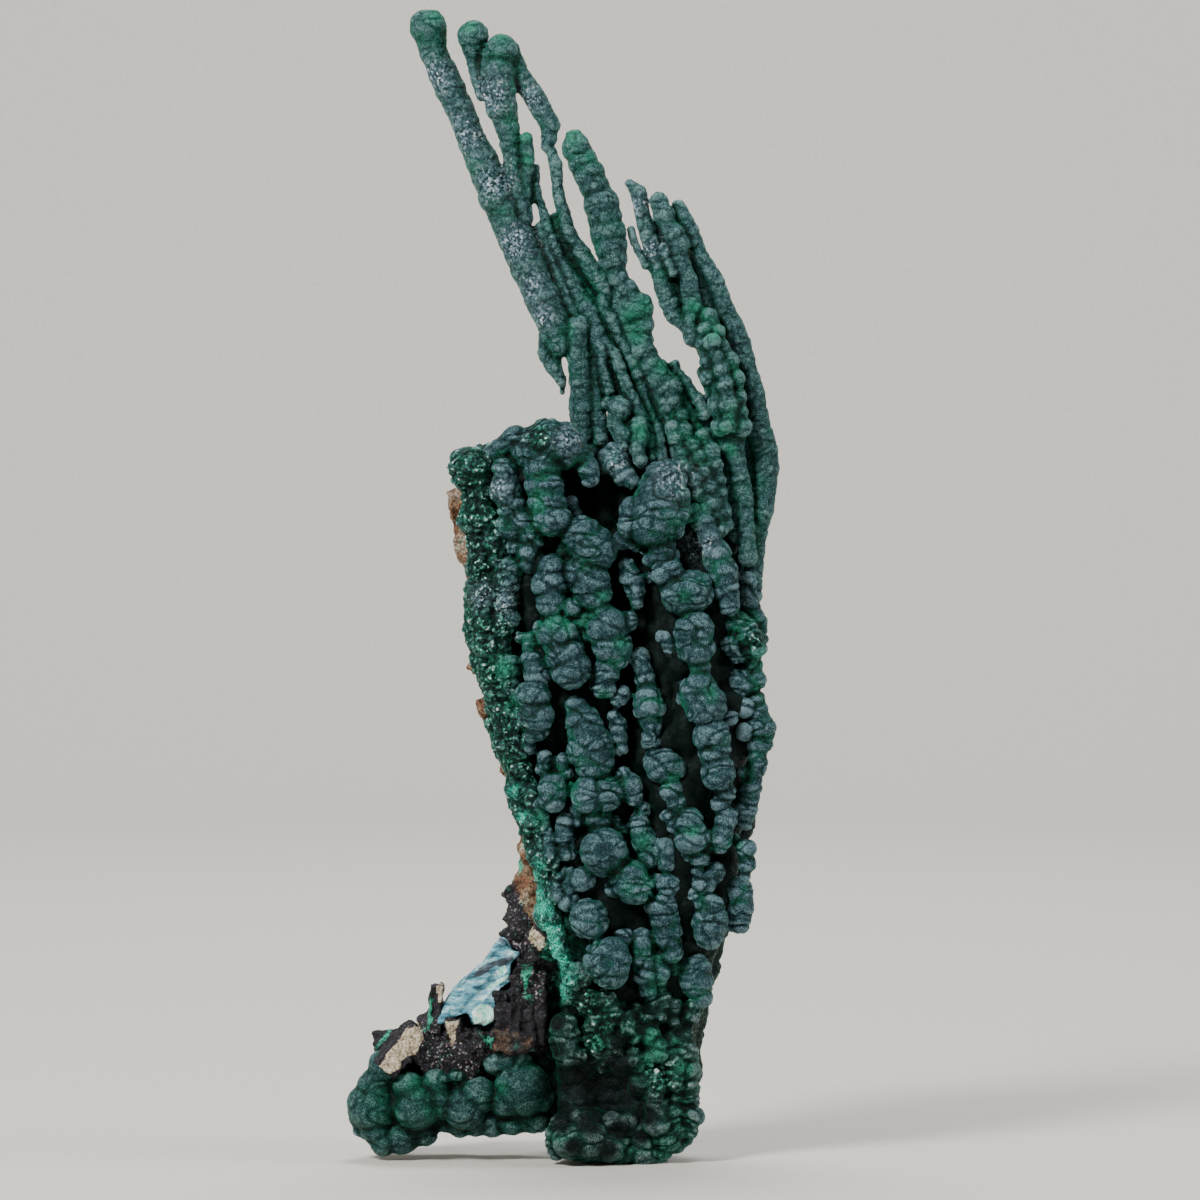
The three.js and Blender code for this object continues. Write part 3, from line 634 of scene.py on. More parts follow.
WING_RIGHT = [
    [6, 1, [4.8, 273.8, 1.4], [7.5, 271, 2.6], [8.2, 265.4, 2.4], [10, 260, 2.6], [11.3, 255, 2.5],
     [12.8, 250, 2.8], [14.3, 245, 2.9], [16, 240.4, 2.9], [17.3, 236.8, 2.6], [20, 234.4, 2.2]],
    [3, 0, [13, 269, 2.6], [14.5, 265, 3], [16, 261.6, 2.4], [17.5, 259.6, 2.9], [19, 256.6, 3],
     [18.7, 252.8, 2.6], [20, 249.6, 2.7], [21.4, 246.6, 2.8], [21.7, 243.4, 2.7], [22.7, 239, 2.9],
     [21.6, 234, 2.7], [23, 230.6, 3.1]],
    [5, 2, [18.5, 267.5, 1.9], [20, 264, 2.4], [22, 260, 2.6], [23.2, 256.8, 2.6], [25, 253, 2.5],
     [27, 250, 2.6], [29, 246, 2.6], [30.5, 242, 2.6], [32.2, 238, 2.7], [34, 234, 3.1], [35.6, 229, 3.3],
     [37, 224, 3.4], [38, 219, 3.5], [39.3, 214, 3.6], [40.3, 209, 3.8], [41.3, 204, 3.8],
     [42.8, 199, 3.8], [43.3, 194, 3.8], [42.5, 188, 3.7], [41.8, 182, 3.5], [40.4, 176, 3.3],
     [40, 170, 2.7], [39.3, 164, 2.7], [39.4, 158.6, 2.7]],
    [0, -2, [27, 236.5, 2.9], [27.6, 231.5, 4], [27.6, 227, 4.2], [29.6, 223, 4.6], [31.5, 219, 4.6],
     [31.6, 214.4, 4.6], [32.8, 211.6, 4.7], [33, 208, 4.8], [33.4, 204.6, 4.6], [33.6, 200, 3.8],
     [35, 196, 2.9], [36, 191, 2.9], [37, 186, 2.8], [37.1, 182, 2.6], [37.5, 177, 2.6], [38, 169, 2.6]],
    [1, 0, [14.4, 256, 1.2], [15.8, 251.6, 1.4], [17.2, 248.4, 1.5]],
    [3, 2, [5.2, 261, 1.1], [6.2, 257, 1.1], [7.6, 253.6, 1.3], [9.4, 250.6, 1.4]],
    [-1, -2, [25, 221, 1.8], [28.2, 216, 2.4], [30.4, 211.6, 2.2], [31, 207, 2]],
    [6, 4, [26, 250, 1.8], [28.4, 243, 2.3], [31, 236, 2.5], [32.6, 229, 2.8], [34.8, 222, 2.8],
     [36.2, 215, 2.8], [37.4, 208, 2.8], [38.4, 201, 2.8], [39.6, 194, 2.8], [40, 187, 2.8],
     [40.2, 180, 2.6], [39.4, 172, 2.4]],
    [6, 3, [12.6, 262, 1.6], [14.4, 256, 2], [16, 250, 2.2], [17.6, 245, 2.2], [19, 240, 2.2],
     [20.6, 236, 2.2]],
    [6, 5, [22.4, 255, 1.8], [24, 249, 2.2], [25.4, 244, 2.2], [26.4, 240, 2.2]],
    [3, 1, [21.4, 216, 2], [23.2, 211.8, 2.6], [25.6, 207.4, 2.8], [27.4, 202, 2.8]],
    [3, 1, [26.6, 213, 2], [28.4, 208, 2.6], [29.6, 202, 2.8], [30.8, 196, 2.8], [31.8, 190, 2.8],
     [32.8, 184, 2.8], [33.6, 178, 2.6]],
    [1, -1, [29.4, 212, 2.4], [31, 206, 2.4], [32, 200, 2.4], [32.8, 194, 2.4], [33.6, 188, 2.4],
     [34.4, 182, 2.4], [35, 175, 2.4]],
]

print("middle and right branches:", len(WING_MIDDLE), "and", len(WING_RIGHT), "rods")

# %% [markdown]
# Low on the branches, small round lumps sit side by side like berries. They could be scattered by
# a rule, but the eye would miss their order: they follow the rods under them in strings. So they
# are lists as well, and only their sizes are made uneven later.

# %% Berries
BERRIES_MIDDLE = [
    [-5, -6, [16.6, 206, 2.2], [18, 202.4, 2.5], [19.6, 198.6, 2.6], [20.8, 194.6, 2.6],
     [22.2, 190.6, 2.6], [23.8, 186.6, 2.7], [25.6, 182.6, 2.6], [27.4, 178.8, 2.3]],
    [-5, -6, [20.6, 204.4, 2.3], [22.4, 200.6, 2.6], [23.6, 196.4, 2.5], [25, 192.4, 2.6],
     [26.4, 188.4, 2.5], [28, 184.4, 2.5], [29.4, 180.4, 2.3], [30.6, 176.6, 2.1]],
    [-4, -5, [25, 202.6, 2.4], [26.6, 198.6, 2.4], [28, 194.6, 2.4], [29.2, 190.6, 2.4],
     [30.6, 186.6, 2.3], [31.8, 182.4, 2.2], [32.8, 178.4, 2]],
    [-1, -3, [9.6, 226.6, 2.4], [12, 223, 2.6], [13.4, 219, 2.6], [15.6, 215.6, 2.8], [16.4, 211.6, 2.7],
     [18.6, 208, 2.6]],
]
BERRIES_RIGHT = [
    [-2, -4, [25.4, 233.4, 2.2], [25.4, 229, 2.5], [26.6, 224.6, 2.6], [28, 220, 2.7], [29.2, 215.6, 2.6],
     [29.8, 211, 2.6], [30.8, 206.4, 2.6]],
    [-2, -4, [30, 232, 2.2], [30.4, 227.6, 2.5], [32.4, 223, 2.7], [34, 218.6, 2.7], [34.6, 214, 2.8],
     [35.4, 209.4, 2.9], [35.8, 204.6, 2.7]],
    [-5, -7, [28, 229, 2.3], [29.6, 222, 2.5], [31.4, 217.6, 2.4], [32.2, 211.6, 2.6], [33, 205.6, 2.5]],
]

print("strings of berries:", len(BERRIES_MIDDLE) + len(BERRIES_RIGHT))

# %% [markdown]
# The body is an aggregate of columns. A seeded rule could grow them all, but the large knobs are
# what one knows this specimen by. So the front ones are listed, in groups that are fused one by
# one to keep each piece small. Big knobs stand further out than small ones. The first list is the
# rim of coarse crystals down the left edge.

# %% Columns of the upper body
EDGE = [
    [-7, -9, [-39, 193, 5.4], [-38.2, 186, 4.8], [-37.2, 180, 4.2], [-36.6, 173, 4.2], [-36.4, 166, 4.2],
     [-36, 159, 4.4], [-35.4, 152, 4.2], [-34.4, 145, 4.2], [-33, 138, 4.2], [-31.4, 131, 4.2],
     [-30, 124, 4], [-28.8, 117, 4], [-27.6, 110, 3.6], [-26, 104, 3.2], [-25, 98, 3.4], [-22.6, 92, 3.2],
     [-20.4, 86, 3.2], [-18.4, 80, 3], [-17, 74, 2.8]],
    [-2, -2, [-37.6, 160, 4], [-37.2, 150, 4.2], [-35.2, 140, 4], [-33, 131, 3.8], [-31, 122, 3.8],
     [-29.4, 114, 3.6], [-27.2, 106, 3.2], [-24.6, 99, 3], [-22.6, 91, 3]],
    [0, 0, [-34.4, 197, 3.6], [-33.8, 190, 3.8], [-33, 184, 3.6]],
    [-8, -9, [-20.6, 85, 2], [-20, 79, 2.4], [-18.6, 73, 2.6], [-17.4, 68, 2.7], [-16, 63, 2.7],
     [-14.4, 58, 2.6], [-13, 53, 2.2]],
    [-9, -10, [-34.6, 181, 2.6], [-34, 174, 3], [-32.6, 166, 2.9], [-32.4, 158, 2.9], [-31.6, 150, 3],
     [-31, 142, 3], [-29.6, 133, 3], [-28.6, 125, 2.9], [-27, 117, 2.8], [-25.6, 110, 2.8],
     [-23.6, 102, 2.6], [-21.4, 95, 2.4], [-19.4, 88, 2.2]],
]
UPPER = [
    [-6, -9, [-33, 197, 3.1], [-30.4, 199.4, 3.2], [-27, 202.2, 4]],
    [-9, -9, [-22.6, 199.6, 6.2], [-18.3, 200.6, 6.9], [-13.6, 200, 6.6], [-10.4, 198.4, 4.4]],
    [-10, -12, [-30.4, 193.4, 3.4], [-30.1, 187.4, 4], [-28.2, 183, 3.9], [-25.8, 179.4, 3.7],
     [-22.9, 175.6, 3.1], [-21, 172.6, 1.9]],
    [-11, -13, [-19.4, 194.4, 5.2], [-18.6, 189, 5.3], [-18.2, 184, 5.1], [-17, 179.8, 5.2]],
    [-9, -10, [-7.6, 197, 2.8], [-6.9, 193.4, 3.2], [-6.6, 190.8, 2.4]],
    [-4, -6, [0.4, 196.4, 4.2], [3.4, 192, 3.1], [5.4, 189.8, 2.1]],
    [-6, -6, [-11.4, 184.4, 1.8], [-10.4, 181.6, 1.9]],
    [-11, -11, [-30.2, 177.4, 2.8], [-27.6, 176.7, 2.9]],
    [-10, -10, [-27.4, 172, 2.2]],
    [-11, -11, [-23, 170.2, 3.4], [-23.2, 167.6, 2.9]],
    [-10, -10, [-28.9, 165.4, 3.4], [-28.9, 162, 3]], [-10, -10, [-29.6, 155.8, 3.4], [-28, 152, 2.8]],
    [-13, -13, [-17.2, 166.2, 4], [-17.6, 161.4, 4.8], [-17.2, 156, 4.4]],
    [-13, -13, [-11.6, 154.6, 3]],
    [-13, -14, [-19.8, 149.2, 2.6], [-15.2, 147.4, 5.8], [-13.4, 142.2, 5.4], [-11.4, 137.4, 5.4]],
    [-12, -12, [-8.4, 174.4, 5.9], [-5.8, 171.4, 6.7]],
    [-11, -11, [-13.4, 170.8, 2.3]],
    [-12, -13, [-8.4, 164.8, 5.5], [-6.4, 161.6, 5.7], [-4.8, 158.6, 4.5]],
    [-13, -13, [-1.6, 149.6, 5.8], [-0.2, 144.6, 5.3], [2.2, 140.8, 2.7]],
    [-12, -12, [-7.8, 150.6, 3.1]], [-12, -12, [4, 151.2, 3]], [-12, -12, [-7.2, 147, 2.2]],
    [-12, -12, [-1.8, 137.2, 3.6], [-3.8, 132.4, 2.9], [-1.4, 131.8, 2.1]],
    [-10, -11, [4.3, 167, 2.3], [5.7, 163, 3.2], [6.4, 159.4, 2.8], [6.9, 156.6, 2.1]],
    [-8, -8, [10.4, 163.4, 1.8]],
    [-10, -11, [-25.8, 146.6, 1.7], [-22.8, 146.6, 1.8]],
    [-11, -12, [-23, 144, 2.5], [-22.3, 140.6, 3.1], [-21.2, 136, 3.4]],
    [-10, -10, [-28.9, 138.4, 3.3], [-28.9, 134, 3]],
]

print("edge and upper body:", len(EDGE), "and", len(UPPER), "columns")

# %% [markdown]
# On the right the columns are slimmer and hang in long strings down to the narrow part. The group
# is round there, so the outermost ones stand further back. A second picture could give their depth.
# There is only one, so depth was judged from how the columns hide each other.

# %% Columns of the right side
RIGHT = [
    [-9, -12, [14.8, 190.6, 6], [13.8, 186, 7], [12.8, 181.6, 7.4], [11.6, 177.6, 6.4]],
    [-11, -12, [6.2, 181.6, 3.8], [4.8, 177.8, 3.2]],
    [-12, -12, [18.6, 186.4, 3], [19, 181.6, 2.9], [17.6, 177, 2.7]],
    [-9, -9, [2.7, 174, 2.3], [6.6, 172.2, 2.1]], [-10, -10, [19.6, 183, 2.3], [20, 179.6, 1.9]],
    [-11, -13, [14, 169.8, 4.6], [15.2, 165.2, 4.3]], [-11, -11, [10.6, 168.4, 2.3]],
    [-13, -13, [19.2, 158.4, 5.3], [22.4, 159.4, 5.6]],
    [-12, -12, [15.8, 160.6, 2.3]],
    [-13, -13, [22.8, 148.6, 5.3], [23.2, 143.8, 5.1]],
    [-12, -12, [24.6, 138.4, 2.7]], [-13, -13, [24.6, 131.6, 5.2], [26, 128, 5.7]],
    [-11, -11, [20.9, 129.4, 2.7]], [-13, -13, [27.6, 119, 4.6], [28.4, 114.6, 3.9]],
    [-13, -13, [29.8, 108.4, 4.8]], [-11, -11, [24.2, 118.4, 2.3]],
    [-11, -11, [31.6, 103.4, 2.9], [30, 99.8, 2.4]], [-11, -11, [31.9, 95.4, 3.2], [29.9, 89.4, 3.4]],
    [-7, -7, [34, 90, 2]],
    [-8, -10, [22.5, 181.4, 2.5], [25.4, 178.2, 3.1], [27.4, 174.6, 3.2], [29.4, 169.8, 4],
     [31.4, 164.8, 3.7], [32.2, 160.2, 3.4], [33, 155, 2.9]],
    [-7, -7, [35, 150.6, 3.5], [37.6, 147.8, 4], [40, 143.2, 3.3]],
    [-2, -3, [38.2, 162, 2.4], [38.5, 156, 2.6], [40.4, 151.2, 2.8], [41, 147, 2.6]],
    [-5, -5, [39.6, 138.8, 2.4]], [-8, -8, [33.4, 144.4, 3], [35.4, 141.2, 2.3]],
    [-6, -5, [35.8, 134, 3.7], [40.2, 134.4, 3]], [-4, -4, [40.2, 129.4, 2.7]],
    [-4, -4, [41, 125.4, 3.3], [41.8, 121.2, 4.3], [41.6, 116.8, 3.7]],
    [-6, -6, [37.4, 127, 2.2]],
    [-5, -5, [40.6, 111.6, 3], [38.6, 105, 3.2], [37.2, 98.4, 3.1], [37, 94.4, 1.9]],
    [-6, -6, [36.8, 109, 1.9]], [-8, -8, [32.6, 124.4, 1.8]], [-7, -7, [37.2, 120, 1.8]],
    [-11, -12, [7.4, 140.6, 2.4], [9.2, 135, 2.9], [10, 130.4, 3.5], [10.4, 126.8, 4.1], [11.2, 122, 2.5],
     [11, 117.4, 2.3]],
    [-12, -12, [11.8, 112.6, 2.6], [14.6, 110.6, 4.4], [17, 109.8, 3.4]],
    [-12, -12, [16.6, 103.4, 3.1], [18.2, 100.6, 2.9]],
    [-11, -11, [15.7, 96.8, 2.1], [17.6, 94.8, 2.2]], [-12, -12, [21.6, 95, 4], [22.8, 90.6, 4.6]],
    [-11, -11, [24.7, 84.9, 2.6]], [-10, -10, [20.8, 85.6, 2.3]],
    [-9, -9, [15, 147, 2.3], [16.4, 143.6, 2.1]], [-9, -9, [18.5, 138, 2.3], [19.4, 134.6, 2.1]],
    [-11, -11, [3.4, 131.2, 1.8], [1.5, 128.8, 2]],
    [-11, -11, [0.2, 124.6, 1.7], [1.6, 121.8, 2.3], [2, 118.4, 1.9], [2.2, 115.4, 1.6]],
    [-9, -9, [37.3, 87, 3.1], [37.6, 83, 2.9], [37.4, 79.8, 1.9]],
    [-3, -3, [35.4, 75.2, 3.9], [35.6, 70.6, 3.8], [35.4, 66.8, 3.2]],
    [-9, -9, [29, 81, 2.8], [25.6, 77.4, 2.9], [24, 81.6, 2]],
    [-9, -9, [28, 71.4, 2.9], [27.4, 66.8, 4.7], [27, 63.4, 3.6]],
    [-9, -9, [22.6, 73.8, 2.2], [25.2, 70.6, 2.1]], [-11, -11, [14, 87, 2.9], [15, 83.4, 2.6]],
    [-12, -12, [15.5, 77, 3.1]],
]

print("right side:", len(RIGHT), "columns")

# %% [markdown]
# Lower down, single round knobs stand in front of thin strings, with dark gaps between. A gap
# could be painted dark, but it would slide off in other views. So the gaps are real, and nothing
# fills them but the trunks far behind, whose sides towards the viewer carry painted shade.

# %% Columns of the lower body
LOWER = [
    [-13, -13, [-22, 129.6, 4.9], [-21.4, 124.8, 5.1]],
    [-12, -12, [-20.4, 120.6, 3], [-22.8, 119.6, 2.5]],
    [-10, -10, [-23.4, 115.6, 2]], [-11, -11, [-18.8, 113, 2], [-19.2, 109.6, 2.4]],
    [-11, -11, [-14, 112, 2.3], [-13.4, 108.4, 2.2]], [-13, -13, [-16.8, 104.6, 4], [-17, 101.4, 3.4]],
    [-11, -11, [-20.6, 99.4, 2]], [-11, -11, [-12.6, 104.4, 2.2]],
    [-12, -13, [-10.4, 127.4, 3.1], [-8.2, 122.6, 4.9], [-7, 119.6, 5.3], [-6.2, 115.6, 6.4],
     [-5, 112.4, 5.4]],
    [-13, -13, [-6.2, 102.4, 5], [-2, 102.8, 5]], [-10, -10, [-4.2, 96, 4.4]],
    [-12, -12, [2.6, 108, 2.2], [4.6, 105, 3], [5.8, 101.6, 2.6]],
    [-11, -11, [7.2, 94.6, 2.7], [8.7, 89.2, 3.1], [10.3, 84, 2.5]],
    [-11, -11, [8.2, 98.6, 2.1]], [-13, -13, [-2.3, 86.6, 6.6]],
    [-13, -13, [4.8, 79, 5.3], [6.4, 76.8, 5]], [-11, -11, [0.4, 76, 2.4]], [-13, -13, [-6.3, 67.6, 5.2]],
    [-13, -13, [-1.4, 56.4, 6.3], [-0.6, 53, 4.9]], [-11, -11, [-4.4, 61.4, 2.2]],
    [-11, -11, [2.8, 62.6, 2.6]],
    [-9, -9, [8.4, 61.4, 3.3], [8.8, 56.8, 3.6], [9.2, 52, 3.5], [10.2, 47.4, 2.7]],
    [-11, -10, [13.6, 72, 3.8], [14.8, 67.6, 3.6], [15.6, 63.2, 4], [17, 58.6, 3]],
    [-11, -11, [12, 78.6, 2.2]],
    [-10, -11, [-20, 96.5, 1.8], [-19, 92.6, 1.9], [-18, 89, 2], [-17.4, 84, 2.6]],
    [-11, -11, [-13, 94.6, 2.5], [-12.8, 90.6, 2.7], [-12.4, 86.4, 2.3]],
    [-11, -11, [-9.4, 98.2, 2], [-9.6, 94.6, 2]], [-11, -11, [-8.3, 78.8, 3]],
    [-10, -10, [-12.7, 80.6, 1.9], [-12.4, 76.6, 2], [-12.2, 72.6, 2.2]],
    [-10, -10, [1, 95.2, 1.9], [2.6, 92.4, 2]], [-10, -10, [-15.4, 79.4, 2], [-15.6, 75, 2.2]],
    [-5, -5, [23, 53.6, 4.6], [23.4, 50, 4.8], [24.6, 45.8, 3.2]],
    [-6, -6, [17.6, 54.4, 2.4]], [-6, -6, [19.6, 57.4, 2]],
    [-9, -9, [13.6, 52.6, 2.6], [12.4, 56.6, 2.2]],
]

print("lower body:", len(LOWER), "columns")

# %% [markdown]
# The base carries the whole group on a flat cut. Its knobs are small and packed, green on the right
# and dark in the middle, from black crust and painted shadow. The ones that can be told apart are
# listed here, and the others follow from a rule in the next step.

# %% Columns of the base
BASE = [
    [-10, -10, [-9, 52, 4.1], [-10, 49.6, 4.1], [-12, 45.8, 3.2], [-7, 44.6, 4.1], [-2, 44.8, 3.6]],
    [-10, -10, [0, 42, 3.2], [-5.6, 39, 3.6], [-1, 37.8, 3.2], [-4.8, 33, 3.6], [0, 32.8, 3.6],
     [-2, 29.8, 2.7]],
    [-9, -9, [2, 27.4, 2.4]],
    [-11, -11, [-13.4, 38.4, 3.5], [-12.2, 34.8, 3.2], [-12.2, 29.4, 2.8], [-9.6, 29, 2.4]],
    [-9, -10, [4.6, 41.2, 2], [4, 37, 3.4], [6, 34.6, 2]],
    [-7, -7, [11.5, 44.5, 2.8], [15, 46.4, 2.3], [14.6, 42.6, 2.6], [13.4, 49.6, 2.1]],
    [-8, -8, [9, 40.4, 2.5], [13.4, 40.6, 2.3]], [-5, -5, [18.5, 38.4, 3], [21, 36.8, 2.3]],
    [-8, -9, [11, 35, 3.2], [13, 31.4, 3.2], [10, 28.8, 2.2], [5.8, 28, 2.2]],
    [-6, -7, [17.5, 33, 2.8], [18, 27.6, 3.1], [17.6, 22, 3.1]],
    [-1, -1, [21.4, 31, 2.1], [22.2, 25.4, 2.2], [22, 20.4, 2.4], [22.2, 16.8, 2]],
    [-9, -9, [7, 21, 2.4], [11.5, 22, 3.1], [12, 16.4, 3.2], [13, 10.6, 3.2]],
    [-6, -6, [15.4, 7, 4.1]], [-3, -3, [19, 11.2, 3], [17.6, 5.4, 3.2]],
    [-4, -4, [-5, 22, 2], [0, 17.6, 2.8], [4, 12.4, 3.4]],
    [-12, -11, [-12, 5.4, 4.6], [-6, 5.4, 4.9], [-1, 4, 3.6]],
    [-10, -10, [-8, 9, 3.2]], [-6, -4, [3, 3.4, 4], [8, 3, 4.6], [13, 3, 3.6]],
    [-2, -1, [-9, 6, 5], [-4, 5, 6], [4, 4.6, 6.4]],
]

print("base:", len(BASE), "columns")

# %% [markdown]
# The base is one dense mass. Hundreds of listed knobs would say no more than a rule does. So thick
# cores stand behind the listed ones, and small knobs crowd on a jittered grid in front of them,
# finer on the dark druse in the middle than on the green right side.

# %% Cores and crowded knobs of the base
BASE_CORES = [
    [3, 2, [-8, 46, 8], [-8, 36, 9], [-8, 26, 9], [-8, 17, 8.4], [-8, 9.6, 8]],
    [1, 0, [4, 48, 9], [5, 37, 9.6], [6, 26, 9.6], [7, 17, 9], [7, 9.4, 8.4]],
    [2, 2, [13, 46, 8], [14.4, 35, 8.4], [15.4, 25, 8.2], [15.2, 16, 8], [13.6, 8.8, 7.6]],
    [-5, -5, [-12, 7.4, 6.4], [-6.6, 7.6, 7.2], [-1.4, 7.2, 6.4]],
    [-4, -4, [-12.6, 37.4, 4.4], [-12.4, 33.6, 4.6], [-12.8, 29, 3.6]],
    [5, 5, [-16, 52, 4.6], [-16, 44, 5], [-16, 36, 5.4], [-16.4, 28, 5.6]],
]


def crowd(west, east, low, high, depth, size, seed):
    """Single knobs on a grid with a spacing of 1.6 sizes, each moved by up to 0.5 sizes."""
    random = np.random.default_rng(seed)
    spacing, jitter = 1.6 * size, 0.5
    x, z = np.meshgrid(np.arange(west, east, spacing), np.arange(low, high, spacing))
    x = x.ravel() + size * random.uniform(-jitter, jitter, x.size)
    z = z.ravel() + size * random.uniform(-jitter, jitter, z.size)
    depths = depth + random.uniform(-0.8, 0.8, x.size)
    radii = size * random.uniform(0.75, 1.2, x.size)
    return [[d, d, [a, b, r]] for d, a, b, r in zip(depths, x, z, radii)]


AREAS = [
    {"west": 4, "east": 22, "low": 8, "high": 46, "depth": -6, "size": 2.8, "seed": 61},
    {"west": -7, "east": 8, "low": 27, "high": 47, "depth": -8, "size": 2.1, "seed": 62},
    {"west": -16, "east": 3, "low": 2, "high": 13, "depth": -9, "size": 1.9, "seed": 63},
    {"west": 16, "east": 24, "low": 8, "high": 30, "depth": -2, "size": 2.6, "seed": 64},
]
CROWDS = [knob for area in AREAS for knob in crowd(**area)]
print("crowded knobs:", len(CROWDS))

# %% [markdown]
# Behind them stand more columns, seen in the gaps and from the sides. They can't be read from the
# picture, and a bare trunk would look empty. So a seeded rule grows them round the two trunks of
# the solids: upright strings of knobs side by side, each with its own phase, sunk in deeper
# towards the viewer to leave dark gaps behind the front columns.

# %% Trunks and the columns round them
TRUNK_LEFT = [
    5, 4, [-20, 186, 14], [-17, 160, 18.5], [-12, 130, 19], [-6, 100, 19], [-1, 70, 18], [1, 40, 15],
    [5, 4, 12.5],
]
TRUNK_RIGHT = [
    5, 5, [12, 184, 14], [19, 160, 18.5], [21, 130, 20], [20, 98, 20], [18, 76, 18.5], [12.6, 44, 14],
    [11, 14, 11.5],
]
RECESS = [
    [6, 6, [-4, 197, 4.6], [-2, 188, 6], [-1, 178, 6.5], [0, 166, 6.5]],
    [8, 8, [-12, 197, 6], [-13, 188, 7]], [7, 7, [-27, 196, 4.4], [-29, 189, 4.8]],
]
SHOULDER = [
    [5, 6, [-7, 204, 3.2], [-2, 204, 3.8], [4, 203, 4.2], [10, 202, 4.4], [16, 200, 4.6], [22, 196, 4.6],
     [26, 190, 4.8], [29, 182, 5], [31, 174, 5]],
    [8, 8, [6, 192, 6], [7, 184, 7]],
]


def ring_columns(trunk, radius, spacing, sink_front, seed):
    """Columns round a trunk: at nearly even angles, centres on the trunk's path plus its radius
    less the column's own, sunk further where they face the viewer. Knobs follow each other at
    scattered distances near their own width, and each column wanders a little sideways."""
    random = np.random.default_rng(seed)
    centres, radii = knobs_of(trunk)
    count = int(2 * np.pi * radii.mean() / spacing)
    top, foot = centres[0, 2] + radii[0] * 0.5, centres[-1, 2]
    columns = []
    for angle in np.linspace(0, 2 * np.pi, count, endpoint=False):
        angle += random.uniform(-0.1, 0.1)
        # Columns start up to 14 mm below the top, and no two are of one width.
        high = top - random.uniform(0, 14)
        own = radius * random.uniform(0.75, 1.3)
        gaps = own * random.uniform(0.8, 2.1, int(1.3 * (high - foot) / own))
        heights = high - np.cumsum(gaps)
        heights = heights[heights > foot]
        size = own * random.uniform(0.75, 1.25, len(heights))
        angle = angle + 0.1 * np.sin(heights / 17 + random.uniform(0, 6))
        # The trunk's path and radius are read at each knob's height.
        middle = [np.interp(heights, centres[::-1, 2], centres[::-1, axis]) for axis in (0, 1)]
        reach = np.interp(heights, centres[::-1, 2], radii[::-1]) - own * 0.9
        front = np.clip(-np.sin(angle), 0, 1)
        reach = reach - sink_front * front + random.uniform(-0.9, 0.9, len(heights))
        places = [middle[0] + reach * np.cos(angle), middle[1] + reach * np.sin(angle), heights]
        columns.append((np.stack(places, axis=1), size))
    return columns


print("trunk heights:", TRUNK_LEFT[2][1], "and", TRUNK_RIGHT[2][1], "mm")

# %% [markdown]
# The back was never seen, but a specimen that grew on a wall has columns there too. They could be
# copies of the front ones. Instead, a few coarse columns give the layout, and each is split into
# strands of smaller knobs, so the back is as finely made as the front without repeating it.

# %% Columns of the back
BACK_KNOB = 3.1
BACK = [
    [16, 14, [36, 175, 5.6], [36.6, 163, 5.8], [36, 152, 5]],
    [23, 22, [24, 186, 6], [25.6, 172, 7], [25, 157, 5.6]],
    [22, 23, [6, 193, 7], [8, 178, 8], [6.6, 164, 6.6]],
    [15, 13, [36.4, 138, 5.2], [37, 125, 5.6], [35.6, 112, 4.8]],
    [24, 24, [26, 146, 6.4], [26.6, 130, 7.6], [25.6, 115, 6]],
    [24, 24, [9, 154, 7], [10, 137, 8], [9, 121, 6.6]],
    [12, 9, [33, 99, 5.2], [32, 87, 5.4], [30.6, 77, 4.4]],
    [21, 19, [20, 106, 6.6], [20.6, 91, 7], [19.6, 77, 5.6]],
    [23, 22, [4, 110, 7], [4, 94, 7.6], [4, 79, 6.4]],
    [18, 15, [13, 68, 6.4], [12.6, 54, 6.6], [12.4, 41, 5.6]],
    [16, 13, [8, 34, 7], [7, 19, 7.4], [5, 5, 7.4]],
]


def beaded_again(column, knob, seed):
    """A coarse column split into three strands of smaller knobs, side by side within its width:
    strand angles a third of a turn apart, turning slowly along the column."""
    random = np.random.default_rng(seed)
    centres, radii = knobs_of(column)
    stops = np.concatenate([[0], np.cumsum(np.linalg.norm(np.diff(centres, axis=0), axis=1))])
    strands = []
    for strand in range(3):
        start = -0.5 * radii[0] + random.uniform(-1, 2)
        gaps = knob * random.uniform(1.2, 1.7, int((stops[-1] + radii[-1]) / knob))
        along = start + np.cumsum(gaps) - gaps[0]
        along = along[along < stops[-1] + 0.5 * radii[-1]]
        line = np.stack([np.interp(along, stops, centres[:, axis]) for axis in range(3)], axis=1)
        line[:, 2] -= (along - stops[-1]) * (along > stops[-1])
        width = np.interp(along, stops, radii)
        turn = 2 * np.pi * strand / 3 + 0.03 * along + random.uniform(0, 1)
        line[:, 0] += (width - knob) * np.cos(turn)
        line[:, 1] += (width - knob) * np.sin(turn)
        strands.append((line, knob * random.uniform(0.85, 1.15, len(along))))
    return strands


print("back:", len(BACK), "columns of three strands")

# %% [markdown]
# ## Finishes
#
# A material can be wired by hand in the node editor, or a node at a time in code, which takes five
# lines a node. Here one small function adds a node with its settings and links, so each finish
# reads as a list of what it is made from. Colours are written as sRGB hex and turned to linear
# light, which is what a shader works in.

# %% Nodes and colours
def linear(hex_colour):
    """The three channels of an sRGB hex colour in linear light, with full opacity: c / 12.92
    below 0.04045, else ((c + 0.055) / 1.055) to the power 2.4."""
    channels = [int(hex_colour[i:i + 2], 16) / 255 for i in (1, 3, 5)]
    return [c / 12.92 if c <= 0.04045 else ((c + 0.055) / 1.055) ** 2.4 for c in channels] + [1]


